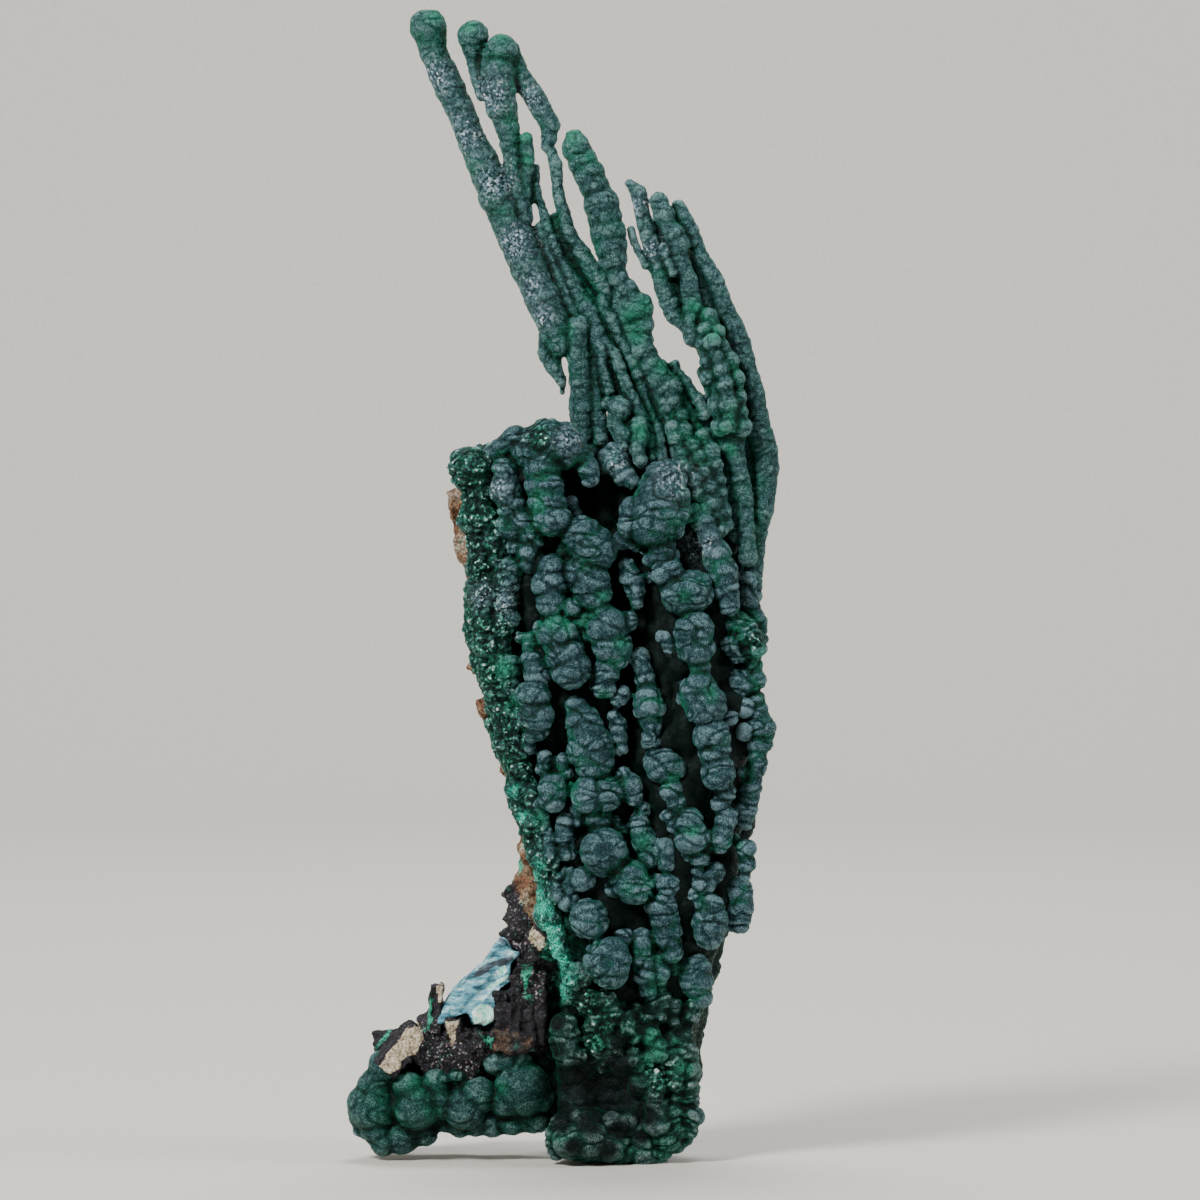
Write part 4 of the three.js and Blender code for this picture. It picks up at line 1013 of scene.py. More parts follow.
def add_node(tree, kind, links=None, output=0, stops=(), **settings):
    """Adds a node and returns one of its outputs. Links gives its inputs values, or outputs to
    join to them. Stops are the places and hex colours of a ramp, and settings its properties."""
    node = tree.nodes.new(kind)
    for name, value in settings.items():
        setattr(node, name, value)
    for name, value in (links or {}).items():
        if isinstance(value, bpy.types.NodeSocket):
            tree.links.new(value, node.inputs[name])
        else:
            node.inputs[name].default_value = value
    for _ in stops[2:]:
        node.color_ramp.elements.new(0.5)
    for element, (place, colour) in zip(node.color_ramp.elements if stops else (), stops):
        element.position = place
        element.color = linear(colour)
    return node.outputs[output]


def new_finish(name):
    """An empty material with its output and shader, ready for colours."""
    material = bpy.data.materials.new(name)
    material.use_nodes = True
    tree = material.node_tree
    return material, tree, tree.nodes["Principled BSDF"]


def per_mm(size):
    """Scale of a pattern on Object coordinates whose features are so many millimetres wide."""
    return 1 / (size * MM)


print("mid grey in linear light:", round(linear("#808080")[0], 3))

# %% [markdown]
# ### Velvet malachite
#
# Malachite is a copper carbonate. This skin grew as a felt of its needles, each under a tenth of a
# millimetre thick, and its own colour is a deep green. The grey-teal that the needles' sheen gives
# the tops is put into the colour as a painted sheen, with painted glints from single crystals, and
# the valleys are darkened by painted shade, where the saturated green shows. One ramp over noise
# could give a green stone, but not this change from top to valley. So a grey and a green ramp are
# mixed by the attributes that were measured on the surface.

# %% Kinds of nodes and sizes of patterns
# The needles are too fine to show in the render, so their grain is drawn at 0.42 mm, as coarse as
# a speck of velvet looks from here, and the single crystals at 0.65 mm. Patches and clouds have
# the size they have on the specimen.
GRAIN_SIZE, CRYSTAL_SIZE = 0.42, 0.65
PATCH_SIZE, CLOUD_SIZE = 2.4, 11
PLACE = "ShaderNodeTexCoord"
NUMBER = "ShaderNodeAttribute"
NOISE = "ShaderNodeTexNoise"
CELLS = "ShaderNodeTexVoronoi"
RAMP = "ShaderNodeValToRGB"
MATH = "ShaderNodeMath"
BLEND = "ShaderNodeMix"
BUMP = "ShaderNodeBump"
RANGE = "ShaderNodeMapRange"
SUM = {"operation": "MULTIPLY_ADD", "use_clamp": True}
print("grain", round(per_mm(GRAIN_SIZE)), "and crystals", round(per_mm(CRYSTAL_SIZE)), "to the metre")

# %% [markdown]
# The colour is built in two steps. First comes the velvet itself, and then the crusts that lie on
# it, each where its own attribute is high. They could be materials of their own, but then their
# borders would follow the faces of the mesh. Mixed in one material, they fade into the velvet.

# %% Colours of the velvet
def velvet_colour(tree, place, hill, grain, sheen_greys, greens, greener):
    """Height plus grain runs through a grey and a green ramp, so low ground gets painted shade and
    high ground a grey painted sheen. The green share is high on rims, which lie in the valleys, and
    in clouds. Returns the colour and the level that it was read at."""
    rim = add_node(tree, NUMBER, output="Fac", attribute_name="rims")
    cloud = add_node(tree, NOISE, {"Vector": place, "Scale": per_mm(CLOUD_SIZE), "Detail": 3})
    low = add_node(tree, MATH, {0: hill, 1: 1.3, 2: -0.66}, operation="MULTIPLY_ADD")
    level = add_node(tree, MATH, {0: grain, 1: 1.05, 2: low}, **SUM)
    clouds = add_node(tree, MATH, {0: cloud, 1: 2.4, 2: greener - 2.1}, operation="MULTIPLY_ADD")
    green_share = add_node(tree, MATH, {0: rim, 1: 2.0, 2: clouds}, **SUM)
    grey = add_node(tree, RAMP, {"Fac": level}, stops=sheen_greys)
    green = add_node(tree, RAMP, {"Fac": level}, stops=greens)
    return add_node(tree, BLEND, {0: green_share, 6: grey, 7: green}, 2, data_type="RGBA"), level


def crust_colours(tree, place, hill, level, grain, crystal, skin):
    """The druse's facets, shaded in the valleys and with pale glints, both painted, then green pods,
    painted glints, turquoise crusts, and black crust with painted shadow, laid over the skin in this
    order, each by its attribute times a strength."""
    patch = add_node(tree, NOISE, {"Vector": place, "Scale": per_mm(PATCH_SIZE), "Detail": 3})
    pod = add_node(tree, RAMP, {"Fac": level}, stops=[
        [0.1, "#01140e"], [0.45, "#033d2c"], [0.85, "#1d8265"]])
    crust = add_node(tree, RAMP, {"Fac": grain}, stops=[
        [0.37, "#065a4f"], [0.51, "#16bd9f"], [0.65, "#98f6e3"]])
    # The glint colour is a painted highlight of single crystals.
    glint = add_node(tree, RAMP, {"Fac": crystal}, stops=[
        [0.28, "#14242c"], [0.52, "#4c6370"], [0.74, "#91a6b4"], [0.93, "#ecf4fb"]])
    # Painted light on the druse: its facets darken in the valleys as painted shade, and the palest ones
    # are painted glints.
    valley_shade = add_node(tree, MATH, {0: hill, 1: 0.9, 2: -0.42}, operation="MULTIPLY_ADD")
    facet = add_node(tree, MATH, {0: crystal, 1: 0.75, 2: valley_shade}, **SUM)
    facets = add_node(tree, RAMP, {"Fac": facet}, stops=[
        [0.27, "#000202"], [0.44, "#01170f"], [0.58, "#053626"],
        [0.72, "#1a6b55"], [0.85, "#58ab98"], [0.93, "#e6fbf6"]])
    soot_and_shade = add_node(tree, RAMP, {"Fac": grain}, stops=[
        [0.4, "#000000"], [0.58, "#08080c"], [0.7, "#35313f"]])
    torn = add_node(tree, MATH, {0: patch, 1: 6, 2: -2.2}, **SUM)
    layers = (("druse", 0.85, facets), ("vivid", 0.75, pod), ("painted_glint", 0.75, glint),
              ("turquoise", torn, crust), ("soot_and_shade", 1.5, soot_and_shade))
    for attribute, strength, colour in layers:
        amount = add_node(tree, NUMBER, output="Fac", attribute_name=attribute)
        share = add_node(tree, MATH, {0: amount, 1: strength, 2: 0}, **SUM)
        skin = add_node(tree, BLEND, {0: share, 6: skin, 7: colour}, 2, data_type="RGBA")
    return skin


print("green comes in clouds of", CLOUD_SIZE, "mm, torn crusts in patches of", PATCH_SIZE, "mm")

# %% [markdown]
# Velvet is rough between its crystals and glossy on each of them. One roughness for all would look
# like paint. So every crystal gets its own, the grain and the crystals raise a fine bump, and a
# green sheen stands for the tips of the needles, which light up where the surface turns away.
# Four tones of it are made: the grey body, the greener branches, and the dark foot and base.

# %% Velvet malachite
def crystal_relief(tree, shader, grain, crystal):
    """Bump height: grain plus the distance to a crystal's centre, more on a druse. Roughness is
    one number a crystal."""
    druse = add_node(tree, NUMBER, output="Fac", attribute_name="druse")
    rough = add_node(tree, MATH, {0: druse, 1: 0.9, 2: 0.15}, operation="MULTIPLY_ADD")
    height = add_node(tree, MATH, {
        0: crystal.node.outputs["Distance"], 1: rough, 2: grain}, operation="MULTIPLY_ADD")
    bump = add_node(tree, BUMP, {"Height": height, "Strength": 0.9, "Distance": 0.3 * MM})
    tree.links.new(bump, shader.inputs["Normal"])
    gloss = add_node(tree, RANGE, {
        "Value": crystal, "From Min": 0.1, "From Max": 0.9, "To Min": 0.34, "To Max": 0.8})
    tree.links.new(gloss, shader.inputs["Roughness"])


def velvet_malachite(name, sheen_greys, greens, greener=0.0):
    """The velvet's colour, its crusts and its relief, joined to one shader."""
    material, tree, shader = new_finish(name)
    place = add_node(tree, PLACE, output="Object")
    # The hills attribute paints shade in the valleys and sheen on the tops.
    hill = add_node(tree, NUMBER, output="Fac", attribute_name="hills")
    grain = add_node(tree, NOISE, {
        "Vector": place, "Scale": per_mm(GRAIN_SIZE), "Detail": 2, "Roughness": 0.7})
    crystal = add_node(tree, CELLS, {"Vector": place, "Scale": per_mm(CRYSTAL_SIZE)}, "Color")
    skin, level = velvet_colour(tree, place, hill, grain, sheen_greys, greens, greener)
    skin = crust_colours(tree, place, hill, level, grain, crystal, skin)
    tree.links.new(skin, shader.inputs["Base Color"])
    crystal_relief(tree, shader, grain, crystal)
    # Solid malachite has an IOR near 1.8, but a felt of needles returns little mirror light. So the
    # IOR keeps its default, the specular level is low, and most of the gloss is sheen.
    shader.inputs["Specular IOR Level"].default_value = 0.3
    shader.inputs["Specular Tint"].default_value = linear("#a4ccc6")
    shader.inputs["Sheen Weight"].default_value = 0.22
    shader.inputs["Sheen Roughness"].default_value = 0.35
    shader.inputs["Sheen Tint"].default_value = linear("#1fc08a")
    return material


# Each grey ramp runs from painted shade at its low end to a painted sheen at its high end.
BODY_VELVET = velvet_malachite(
    "malachite_velvet",
    [[0.08, "#000101"], [0.3, "#02080a"], [0.5, "#12272c"], [0.7, "#2c474f"], [0.95, "#6b858e"]],
    [[0.08, "#000403"], [0.26, "#02291d"], [0.42, "#055a40"], [0.62, "#0f7d5d"], [0.92, "#5fb097"]])
WING_VELVET = velvet_malachite(
    "malachite_velvet_branches",
    [[0.08, "#000202"], [0.3, "#030d0d"], [0.5, "#172f30"], [0.7, "#305153"], [0.95, "#668686"]],
    [[0.08, "#000403"], [0.26, "#02261b"], [0.44, "#054a36"], [0.64, "#0d6b50"], [0.92, "#4d9c83"]],
    greener=0.05)
FOOT_VELVET = velvet_malachite(
    "malachite_velvet_foot",
    [[0.08, "#000101"], [0.3, "#020909"], [0.5, "#0f2829"], [0.7, "#29494b"], [0.95, "#6d8a89"]],
    [[0.08, "#000302"], [0.3, "#01140f"], [0.5, "#043528"], [0.7, "#0c5743"], [0.95, "#4b957f"]],
    greener=0.2)
BASE_VELVET = velvet_malachite(
    "malachite_velvet_base",
    [[0.08, "#000101"], [0.3, "#020606"], [0.5, "#0f1f20"], [0.7, "#2a4143"], [0.95, "#778b8c"]],
    [[0.08, "#000302"], [0.3, "#01130e"], [0.5, "#043629"], [0.7, "#0e604a"], [0.95, "#58a18c"]],
    greener=0.35)
print("velvets:", [velvet.name for velvet in (BODY_VELVET, WING_VELVET, FOOT_VELVET, BASE_VELVET)])

# %% [markdown]
# ## Malachite pieces
#
# On the real skins, lumps sit on knobs and grains sit on lumps. Bump in the material would fake
# them, but the outline would stay smooth. So each skin is moved along its normals by the patterns
# from above: swells that make no two knobs alike, broad lumps with creases, long folds, small
# grains, and coarse flat faces on the druses, where single crystals are large enough to see.

# %% Shape and finish of a malachite skin
FINE_WIDTH, FINE_REACH = 1.1, 0.28
BROAD_WIDTH, BROAD_REACH = 2.85, 1.1
BROAD_LIMIT = 0.78
DRUSE = [
    [-38, 182, 7], [-36, 165, 7], [-35, 150, 7], [-33, 135, 7], [-30, 120, 6], [-27, 105, 5],
    [-23, 92, 5], [-19, 82, 5], [-7, 47, 7], [-3, 36, 7], [-40, 190, 7], [-12, 50, 5], [40, 146, 4],
    [0, 26, 6], [14, 24, 6], [-20, 202, 5],
]


def dress_malachite(piece, node, finish, lumps=(7.5, 4, 0.6), swells=(9, 0.8), sunk=0.0, coarse=0.0):
    """Moves each point along its normal by broad lumps, long folds, swells, small grains and
    druse, then measures hills and rims, which paint shade in valleys and sheen on tops. A skin that
    stands sunk behind others gets painted shade where it faces the viewer, and a coarse one is druse
    all over."""
    points, normals, edges = read_skin(piece)
    druse = np.maximum(near_spots(points, normals, DRUSE), coarse)
    wide, tall, depth = lumps
    bent = warped(points, size=5, reach=1.3, seed=21)
    relief = (depth * wrinkles(bent, wide, tall, seed=3, crease=0.3)
              + swells[1] * swell(points, swells[0], seed=5))
    relief += (0.14 * wrinkles(bent, wide=1.7, tall=1.5, seed=8, crease=0.3)
               - 0.6 * depth * folds(bent, wide, seed=33))
    relief += druse * (0.6 * wrinkles(bent, wide=3.2, tall=2.8, seed=7)
                       + 0.8 * (steps(bent, size=1.5, seed=9) - 0.5))
    write_skin(piece, points + normals * relief[:, None])
    points, normals, edges = read_skin(piece)
    # Painted light: the hills measured here give a grey painted sheen on the tops and painted shade in the
    # valleys.
    fine = hills(points, normals, edges, FINE_WIDTH, FINE_REACH)
    broad = hills(points, normals, edges, BROAD_WIDTH, BROAD_REACH)
    # Painted shade: a sunk skin is darkened where it faces the viewer, for the shadow in the gaps.
    shade = sunk * np.clip(-normals[:, 1], 0, 1)
    add_attribute(piece, "hills", 0.5 * fine + 0.5 * np.minimum(broad, BROAD_LIMIT) - shade)
    add_attribute(piece, "rims", 1 - broad)
    for name, spots in {"vivid": VIVID, "turquoise": TURQUOISE, "painted_glint": PAINTED_GLINTS, "soot_and_shade": SOOT_AND_SHADE}.items():
        add_attribute(piece, name, near_spots(points, normals, spots))
    add_attribute(piece, "druse", druse)
    finish_piece(piece, node, finish)


def finish_piece(piece, node, material):
    """Smooth shading, the finish, and what the piece rides on and stands for."""
    piece.data.polygons.foreach_set("use_smooth", np.ones(len(piece.data.polygons), dtype=bool))
    piece.data.materials.clear()
    piece.data.materials.append(material)
    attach(piece, "root")
    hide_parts(node)
    faces = len(piece.data.polygons)
    low, high = [np.array(c) / MM for c in (piece.bound_box[0], piece.bound_box[6])]
    print(piece.name, faces, "faces", low.round(1), high.round(1))


def column_shells(columns, waist=0.84, grow=0.0):
    """Tubes round listed columns. Each knob may grow a little, since creases take away."""
    return [bead_tube(centres, radii + grow, waist=waist) for centres, radii in map(knobs_of, columns)]


print("druse spots:", len(DRUSE))

# %% [markdown]
# The branches are three pieces, one for each fork, since a fork breaks off and is stored on its
# own. A single mesh would be simpler but heavier than one piece may be. Rods get a shallow waist
# and flat lumps, because they are nearly smooth, and the strings of berries a deep one.

# %% Branches
def uneven(column, seed):
    """The column with its knobs moved by up to 0.9 mm and resized by up to a fifth."""
    random = np.random.default_rng(seed)
    knobs = np.array(column[2:])
    knobs[:, :2] += random.uniform(-0.9, 0.9, (len(knobs), 2))
    knobs[:, 2] *= random.uniform(0.8, 1.2, len(knobs))
    return column[:2] + knobs.tolist()


for name, columns, berries, node in (("branches_left", WING_LEFT, [], "wing_left"),
                                     ("branches_middle", WING_MIDDLE, BERRIES_MIDDLE, "wing_middle"),
                                     ("branches_right", WING_RIGHT, BERRIES_RIGHT, "wing_right")):
    rods = column_shells(columns, waist=0.8 if name == "branches_middle" else 0.95)
    packed = [uneven(column, seed=31 + i) for i, column in enumerate(berries)]
    branch = fused_skin(name, rods + column_shells(packed, waist=0.75, grow=0.5))
    dress_malachite(branch, node, WING_VELVET, lumps=(4.2, 3, 0.3), swells=(7, 0.4))

# %% [markdown]
# The front columns carry the likeness, so they get the finest voxels. Each group could have its own
# settings, but the same rule for all keeps their lumps alike, as on the specimen. Only the base is
# darker, and the edge is a druse all over.

# %% Front columns
for name, columns in (("columns_upper", UPPER), ("columns_right", RIGHT), ("columns_lower", LOWER),
                      ("columns_base", BASE + BASE_CORES + CROWDS),
                      ("druse_edge", [uneven(column, seed=71 + i) for i, column in enumerate(EDGE)])):
    group = fused_skin(name, column_shells(columns, waist=0.9, grow=0.4))
    finish = BASE_VELVET if name == "columns_base" else BODY_VELVET
    dress_malachite(group, "malachite_body", finish, coarse=0.8 * (name == "druse_edge"))

# %% [markdown]
# Through the gaps one sees only the dark trunks. They could be left plain and black, but from the
# side and from behind they are in full light. So they are dressed like the front, with coarser
# voxels, and only their sides towards the viewer get painted shade, for the shadow that falls in
# the gaps between the front columns.

# %% Trunks, their columns and the back
TRUNK_VOXEL, BACK_VOXEL = 0.8, 0.75
RING_KNOB, RING_SPACING, RING_SINK = 4.4, 6.4, 2.2
TRUNK_PARING = 5


def trunk_shells(trunk, filling, seed):
    """The trunk itself, thinned, the seeded columns round it, and what fills its top."""
    centres, radii = knobs_of(trunk)
    shells = [bead_tube(centres, radii - TRUNK_PARING, waist=0.95)]
    ring = ring_columns(trunk, RING_KNOB, RING_SPACING, RING_SINK, seed)
    shells += [bead_tube(*column, waist=0.8) for column in ring]
    return shells + column_shells(filling)


for name, trunk, filling, seed in (("trunk_left", TRUNK_LEFT, RECESS, 11),
                                   ("trunk_right", TRUNK_RIGHT, SHOULDER, 23)):
    skin = fused_skin(name, trunk_shells(trunk, filling, seed), TRUNK_VOXEL)
    # The trunks get painted shade on the sides that face the viewer.
    dress_malachite(skin, "malachite_body", BODY_VELVET, sunk=0.85)

back_shells = [bead_tube(centres, radii * 0.7) for centres, radii in map(knobs_of, BACK)]
for i, column in enumerate(BACK):
    back_shells += [bead_tube(*strand) for strand in beaded_again(column, BACK_KNOB, seed=40 + i)]
back = fused_skin("columns_back", back_shells, BACK_VOXEL)
dress_malachite(back, "malachite_body", BODY_VELVET)

# %% [markdown]
# ## Host rock, foot and seam
#
# The malachite grew on a wall of rock, and part of it was left on the specimen as its matrix. The
# wall runs up the left and the back, and the foot is a core of the same rock with malachite lumps
# under it. The layout is listed as columns again, because a list of radii is also a good way to
# say where rock is thick and where it is thin.

# %% Layout of rock, matrix and foot
ROCK = [
    [3, 3, [-41, 182, 5.8], [-39, 170, 5.4], [-35.2, 156, 5], [-34, 142, 6], [-31, 126, 5.4],
     [-27, 112, 5.4], [-23, 100, 4.8], [-22, 84, 5], [-23.4, 72, 5.4], [-24.8, 62, 6.4]],
    [15, 14, [-31, 188, 6.5], [-34, 174, 9.5], [-28, 158, 8], [-28.6, 142, 10.4], [-22, 124, 8.4],
     [-20, 108, 9.4], [-16, 90, 8.6], [-19, 72, 9], [-17, 50, 8.6]],
    [9, 9, [-36, 184, 6], [-37, 170, 6.6], [-31, 156, 6.4], [-31, 140, 7], [-26.6, 124, 6.6],
     [-25, 110, 6.4], [-20.6, 96, 6.2], [-21, 80, 6.6], [-21, 66, 6.8]],
    [19, 18, [-26, 190, 6], [-24, 177, 7.4], [-23, 162, 8], [-20, 144, 8.4], [-17, 126, 8.4]],
    [22, 22, [-19, 193, 6], [-14, 180, 10.4], [-16, 160, 8.2], [-10, 142, 11], [-12, 122, 8.4],
     [-6, 102, 10.8], [-10, 82, 8.4], [-6, 62, 10.4], [-10, 42, 8], [-7, 26, 5]],
]
MATRIX = [
    [6, 9, [-23, 56, 8.4], [-31, 45, 9.4], [-45, 33.4, 9.8], [-58.6, 29.6, 8.2]],
    [6, 13, [-25.6, 42, 8], [-38, 36, 9.4], [-52, 29, 9]],
    [0, 0, [-50, 30.6, 5.2], [-43, 30.6, 6.4], [-35.6, 31, 6.2], [-27, 34, 5.6]],
    [-1, -1, [-20, 63, 3.6], [-21.6, 57, 4.4], [-21.6, 50, 4.2]],
    [1, 1, [-25.6, 45, 6.6], [-24.6, 38, 6.4]],
    [5, 4, [-24, 35, 5], [-20.4, 31.6, 4.8], [-17, 28, 4]],
    [5, 5, [-42, 26.4, 4.8], [-37.6, 26.2, 4.8], [-32, 26.4, 4.8]],
]
FOOT = [
    [1, 2, [-63.4, 27, 4.6], [-66.4, 20.6, 5.8], [-66.4, 14.6, 6.9], [-66.6, 9.6, 5]],
    [2, 2, [-71, 12, 2.3], [-71.6, 8.6, 1.8]],
    [2, 2, [-63.6, 6.4, 5.2], [-58, 6.4, 5.4], [-53.4, 8.6, 4.4]],
    [-2, -2, [-57.6, 20.6, 4.8], [-54, 15.6, 6.3]], [-2, -2, [-49.4, 21.4, 4.4], [-47.4, 16, 5.7]],
    [-2, -2, [-42.6, 15.4, 5.4], [-37, 18.4, 6.6]],
    [-2, -2, [-30.4, 17, 5.2], [-25, 20, 6.7], [-20, 18.4, 5]],
    [-2, -2, [-33.4, 27.4, 3.6], [-29, 28, 3.2], [-25, 28.2, 3.6]],
    [-1, -1, [-44, 23.6, 3.6], [-40, 25.4, 3]],
    [0, 0, [-47.6, 9.4, 3.2], [-43.6, 9.6, 3.6], [-38, 10, 3.8], [-32.6, 10.2, 3.6], [-27.4, 10.6, 4],
     [-21.6, 12, 4]],
    [6, 6, [-62, 17, 8.4], [-52, 17, 8], [-42, 17, 8], [-32, 17.6, 7.6], [-22, 19, 7.6]],
    [12, 12, [-60, 17.6, 7.6], [-44, 16.4, 7.8], [-28, 17.2, 7.4]],
    [4, 4, [-17, 23, 5.4], [-15.6, 16, 5]],
]

print("rock, matrix, foot:", len(ROCK), len(MATRIX), len(FOOT), "columns")

# %% [markdown]
# Round the foot the malachite swelled to soft, large lobes, with the toe of the foot touching the
# ground. Plain spheres would look like a bunch of grapes. So the lobes are made uneven, fused, and
# given broad low lumps, larger than anywhere else on the specimen.

# %% Lumps of the foot
FOOT_VOXEL = 0.5
lobes = [uneven(column, seed=101 + i) for i, column in enumerate(FOOT)]
foot = fused_skin("foot_lumps", column_shells(lobes, waist=0.85), FOOT_VOXEL)
dress_malachite(foot, "foot_malachite", FOOT_VELVET, lumps=(9, 6.5, 0.5))

# %% [markdown]
# ### Earthy rock
#
# The wall is weathered sandstone: quartz grains in a rusty cement, so it is tan, matt and gritty
# to the eye. Towards the foot a sooty crust of manganese oxide covers it, with tiny pink and
# turquoise specks, and fresh breaks show cream calcite. These could be four materials on four
# pieces, but on the real rock one passes into the other, so one material mixes them by attributes.

# %% Earthy rock
# Sand grains of 0.2 mm are too fine to show, so the grit is drawn at 0.8 mm. Stains are 5 mm wide,
# as on the specimen, and the specks 0.55 mm.
STAIN_SIZE, GRIT_SIZE, SPECK_SIZE = 5, 0.8, 0.55


def earthy_rock(name):
    """Tan with rusty patches by noise. A black crust with tiny pink and turquoise specks covers
    it where the crust attribute is high, cream calcite and green film by their own ones."""
    material, tree, shader = new_finish(name)
    place = add_node(tree, PLACE, output="Object")
    patch = add_node(tree, NOISE, {"Vector": place, "Scale": per_mm(STAIN_SIZE), "Detail": 5})
    grit = add_node(tree, NOISE, {
        "Vector": place, "Scale": per_mm(GRIT_SIZE), "Detail": 3, "Roughness": 0.75})
    fleck = add_node(tree, CELLS, {"Vector": place, "Scale": per_mm(SPECK_SIZE)}, "Color")
    crust, cream, film, flecks = [add_node(tree, NUMBER, output="Fac", attribute_name=attribute)
                                  for attribute in ("crust", "cream", "film", "flecks")]

    pits = add_node(tree, RAMP, {"Fac": patch}, stops=[
        [0.3, "#1c0f08"], [0.45, "#3c2415"], [0.62, "#5c4836"]])
    faces = add_node(tree, RAMP, {"Fac": patch}, stops=[
        [0.32, "#7d4a2c"], [0.42, "#96694a"], [0.52, "#a58a6c"], [0.64, "#cbbda8"]])
    worn = add_node(tree, MATH, {0: grit, 1: 4.4, 2: -1.8}, **SUM)
    skin = add_node(tree, BLEND, {0: worn, 6: pits, 7: faces}, 2, data_type="RGBA")
    calcite = add_node(tree, RAMP, {"Fac": grit}, stops=[
        [0.3, "#4a3a28"], [0.42, "#96876c"], [0.52, "#c9bda6"], [0.66, "#f0e8d8"]])
    skin = add_node(tree, BLEND, {0: cream, 6: skin, 7: calcite}, 2, data_type="RGBA")

    # The crust's own near-black, whose palest grey-purple stop paints glints from its crystals.
    oxide_and_glints = add_node(tree, RAMP, {"Fac": grit}, stops=[
        [0.36, "#000000"], [0.5, "#0b0910"], [0.62, "#262230"], [0.74, "#69627a"]])
    specks = add_node(tree, RAMP, {"Fac": grit}, stops=[
        [0.42, "#1f9883"], [0.5, "#a1808f"], [0.62, "#d8ccd2"]])
    rare = add_node(tree, MATH, {0: fleck, 1: 9, 2: -6.6}, **SUM)
    speckled = add_node(tree, MATH, {0: rare, 1: flecks}, operation="MULTIPLY")
    dark = add_node(tree, BLEND, {0: speckled, 6: oxide_and_glints, 7: specks}, 2, data_type="RGBA")
    ragged = add_node(tree, MATH, {0: patch, 1: 3, 2: -1.7}, operation="MULTIPLY_ADD")
    black = add_node(tree, MATH, {0: crust, 1: 1.6, 2: ragged}, **SUM)
    skin = add_node(tree, BLEND, {0: black, 6: skin, 7: dark}, 2, data_type="RGBA")

    green = add_node(tree, RAMP, {"Fac": grit}, stops=[
        [0.34, "#01382a"], [0.48, "#0b8a6a"], [0.64, "#55dcbf"]])
    broken = add_node(tree, MATH, {0: patch, 1: 4, 2: -2.55}, operation="MULTIPLY_ADD")
    wet = add_node(tree, MATH, {0: film, 1: 1.3, 2: broken}, **SUM)
    skin = add_node(tree, BLEND, {0: wet, 6: skin, 7: green}, 2, data_type="RGBA")
    tree.links.new(skin, shader.inputs["Base Color"])
    bump = add_node(tree, BUMP, {"Height": grit, "Strength": 1, "Distance": 0.5 * MM})
    tree.links.new(bump, shader.inputs["Normal"])
    # Bare sandstone has a roughness of about 0.9. The oxide's slight glint brings it down.
    shader.inputs["Roughness"].default_value = 0.78
    return material


ROCK_FINISH = earthy_rock("weathered_sandstone")
print(ROCK_FINISH.name, "has", len(ROCK_FINISH.node_tree.nodes), "nodes")

# %% [markdown]
# The patches on the rock have crisp borders: cream cleavage faces, green films in the cracks, the
# rusty ledge over the foot and the bare tan strip beside the crust. Spots would blur them, so they
# are outlines. The relief is flat steps of two sizes, since rock breaks and doesn't swell.

# %% Patches and relief of the rock
CREAM = [
    [[-65.4, 26], [-61.6, 32], [-57, 38], [-54.4, 38], [-52.4, 34.4], [-55.6, 30.4], [-62, 25.2]],
    [[-46.4, 40], [-42.4, 40], [-44.8, 32.2]],
    [[-49.2, 49.6], [-47, 49.6], [-47.2, 44.6], [-48.6, 44.6]],
    [[-23.6, 63], [-22, 66], [-19, 63], [-18, 60.6], [-20.4, 59.4]],
]
FILM = [
    [[-26, 55.8], [-22, 55.2], [-23.6, 50.6], [-24, 46.8], [-25.4, 50]],
    [[-21.4, 58], [-17, 60.8], [-14, 60.2], [-16.4, 55.6]],
    [[-51.2, 46], [-49.6, 46], [-50, 39.4], [-51.8, 37.4]],
    [[-38, 37.4], [-35.4, 35.6], [-33.6, 34.6], [-33, 32], [-35, 32.6]],
    [[-25, 46.4], [-19.4, 48.4], [-22.4, 44.4]], [[-66, 30], [-60, 38], [-62, 38.4], [-67.6, 30]],
    [[-27.4, 86], [-24.6, 84], [-26, 78]], [[-33, 124], [-30.6, 122], [-32, 117]],
]
FLECKS = [
    [-47, 31, 8], [-39, 28, 7], [-52, 34, 5], [-27, 60, 5], [-22, 50, 5], [-26, 70, 5],
]
LEDGE = [
    [-33.4, 37.6], [-31.6, 37.8], [-22, 35], [-21.6, 31], [-33, 30.6],
]
BARE = [
    [-29, 110], [-25, 106], [-22, 86], [-19.6, 70], [-21.4, 66], [-24.6, 71.4], [-28, 80],
]
RIBS = (1, 1, 0.15)


def dress_rock(piece, crust_at):
    """Steps of two sizes and swells along the normals, upright ribs, and the colours' places."""
    points, normals, edges = read_skin(piece)
    bent = warped(points, size=4, reach=1, seed=31)
    relief = 0.8 * (steps(bent, size=3.4, seed=2) - 0.5) + 0.7 * (steps(bent, size=1.5, seed=4) - 0.5)
    relief += 0.6 * swell(points, size=12, seed=6)
    relief += 0.5 * swell(points * RIBS, size=1.5, seed=17) - 0.7 * folds(bent, size=6, seed=18)
    write_skin(piece, points + smoothed(normals * relief[:, None], edges, 1))
    points, normals, edges = read_skin(piece)
    cream = within(points, normals, CREAM)
    bare = np.maximum(cream, within(points, normals, [BARE]))
    bare = np.maximum(bare, 0.35 * within(points, normals, [LEDGE]))
    add_attribute(piece, "crust", crust_at(points) - 2 * bare)
    add_attribute(piece, "cream", cream)
    add_attribute(piece, "film", within(points, normals, FILM))
    add_attribute(piece, "flecks", near_spots(points, normals, FLECKS))
    finish_piece(piece, "host_rock", ROCK_FINISH)


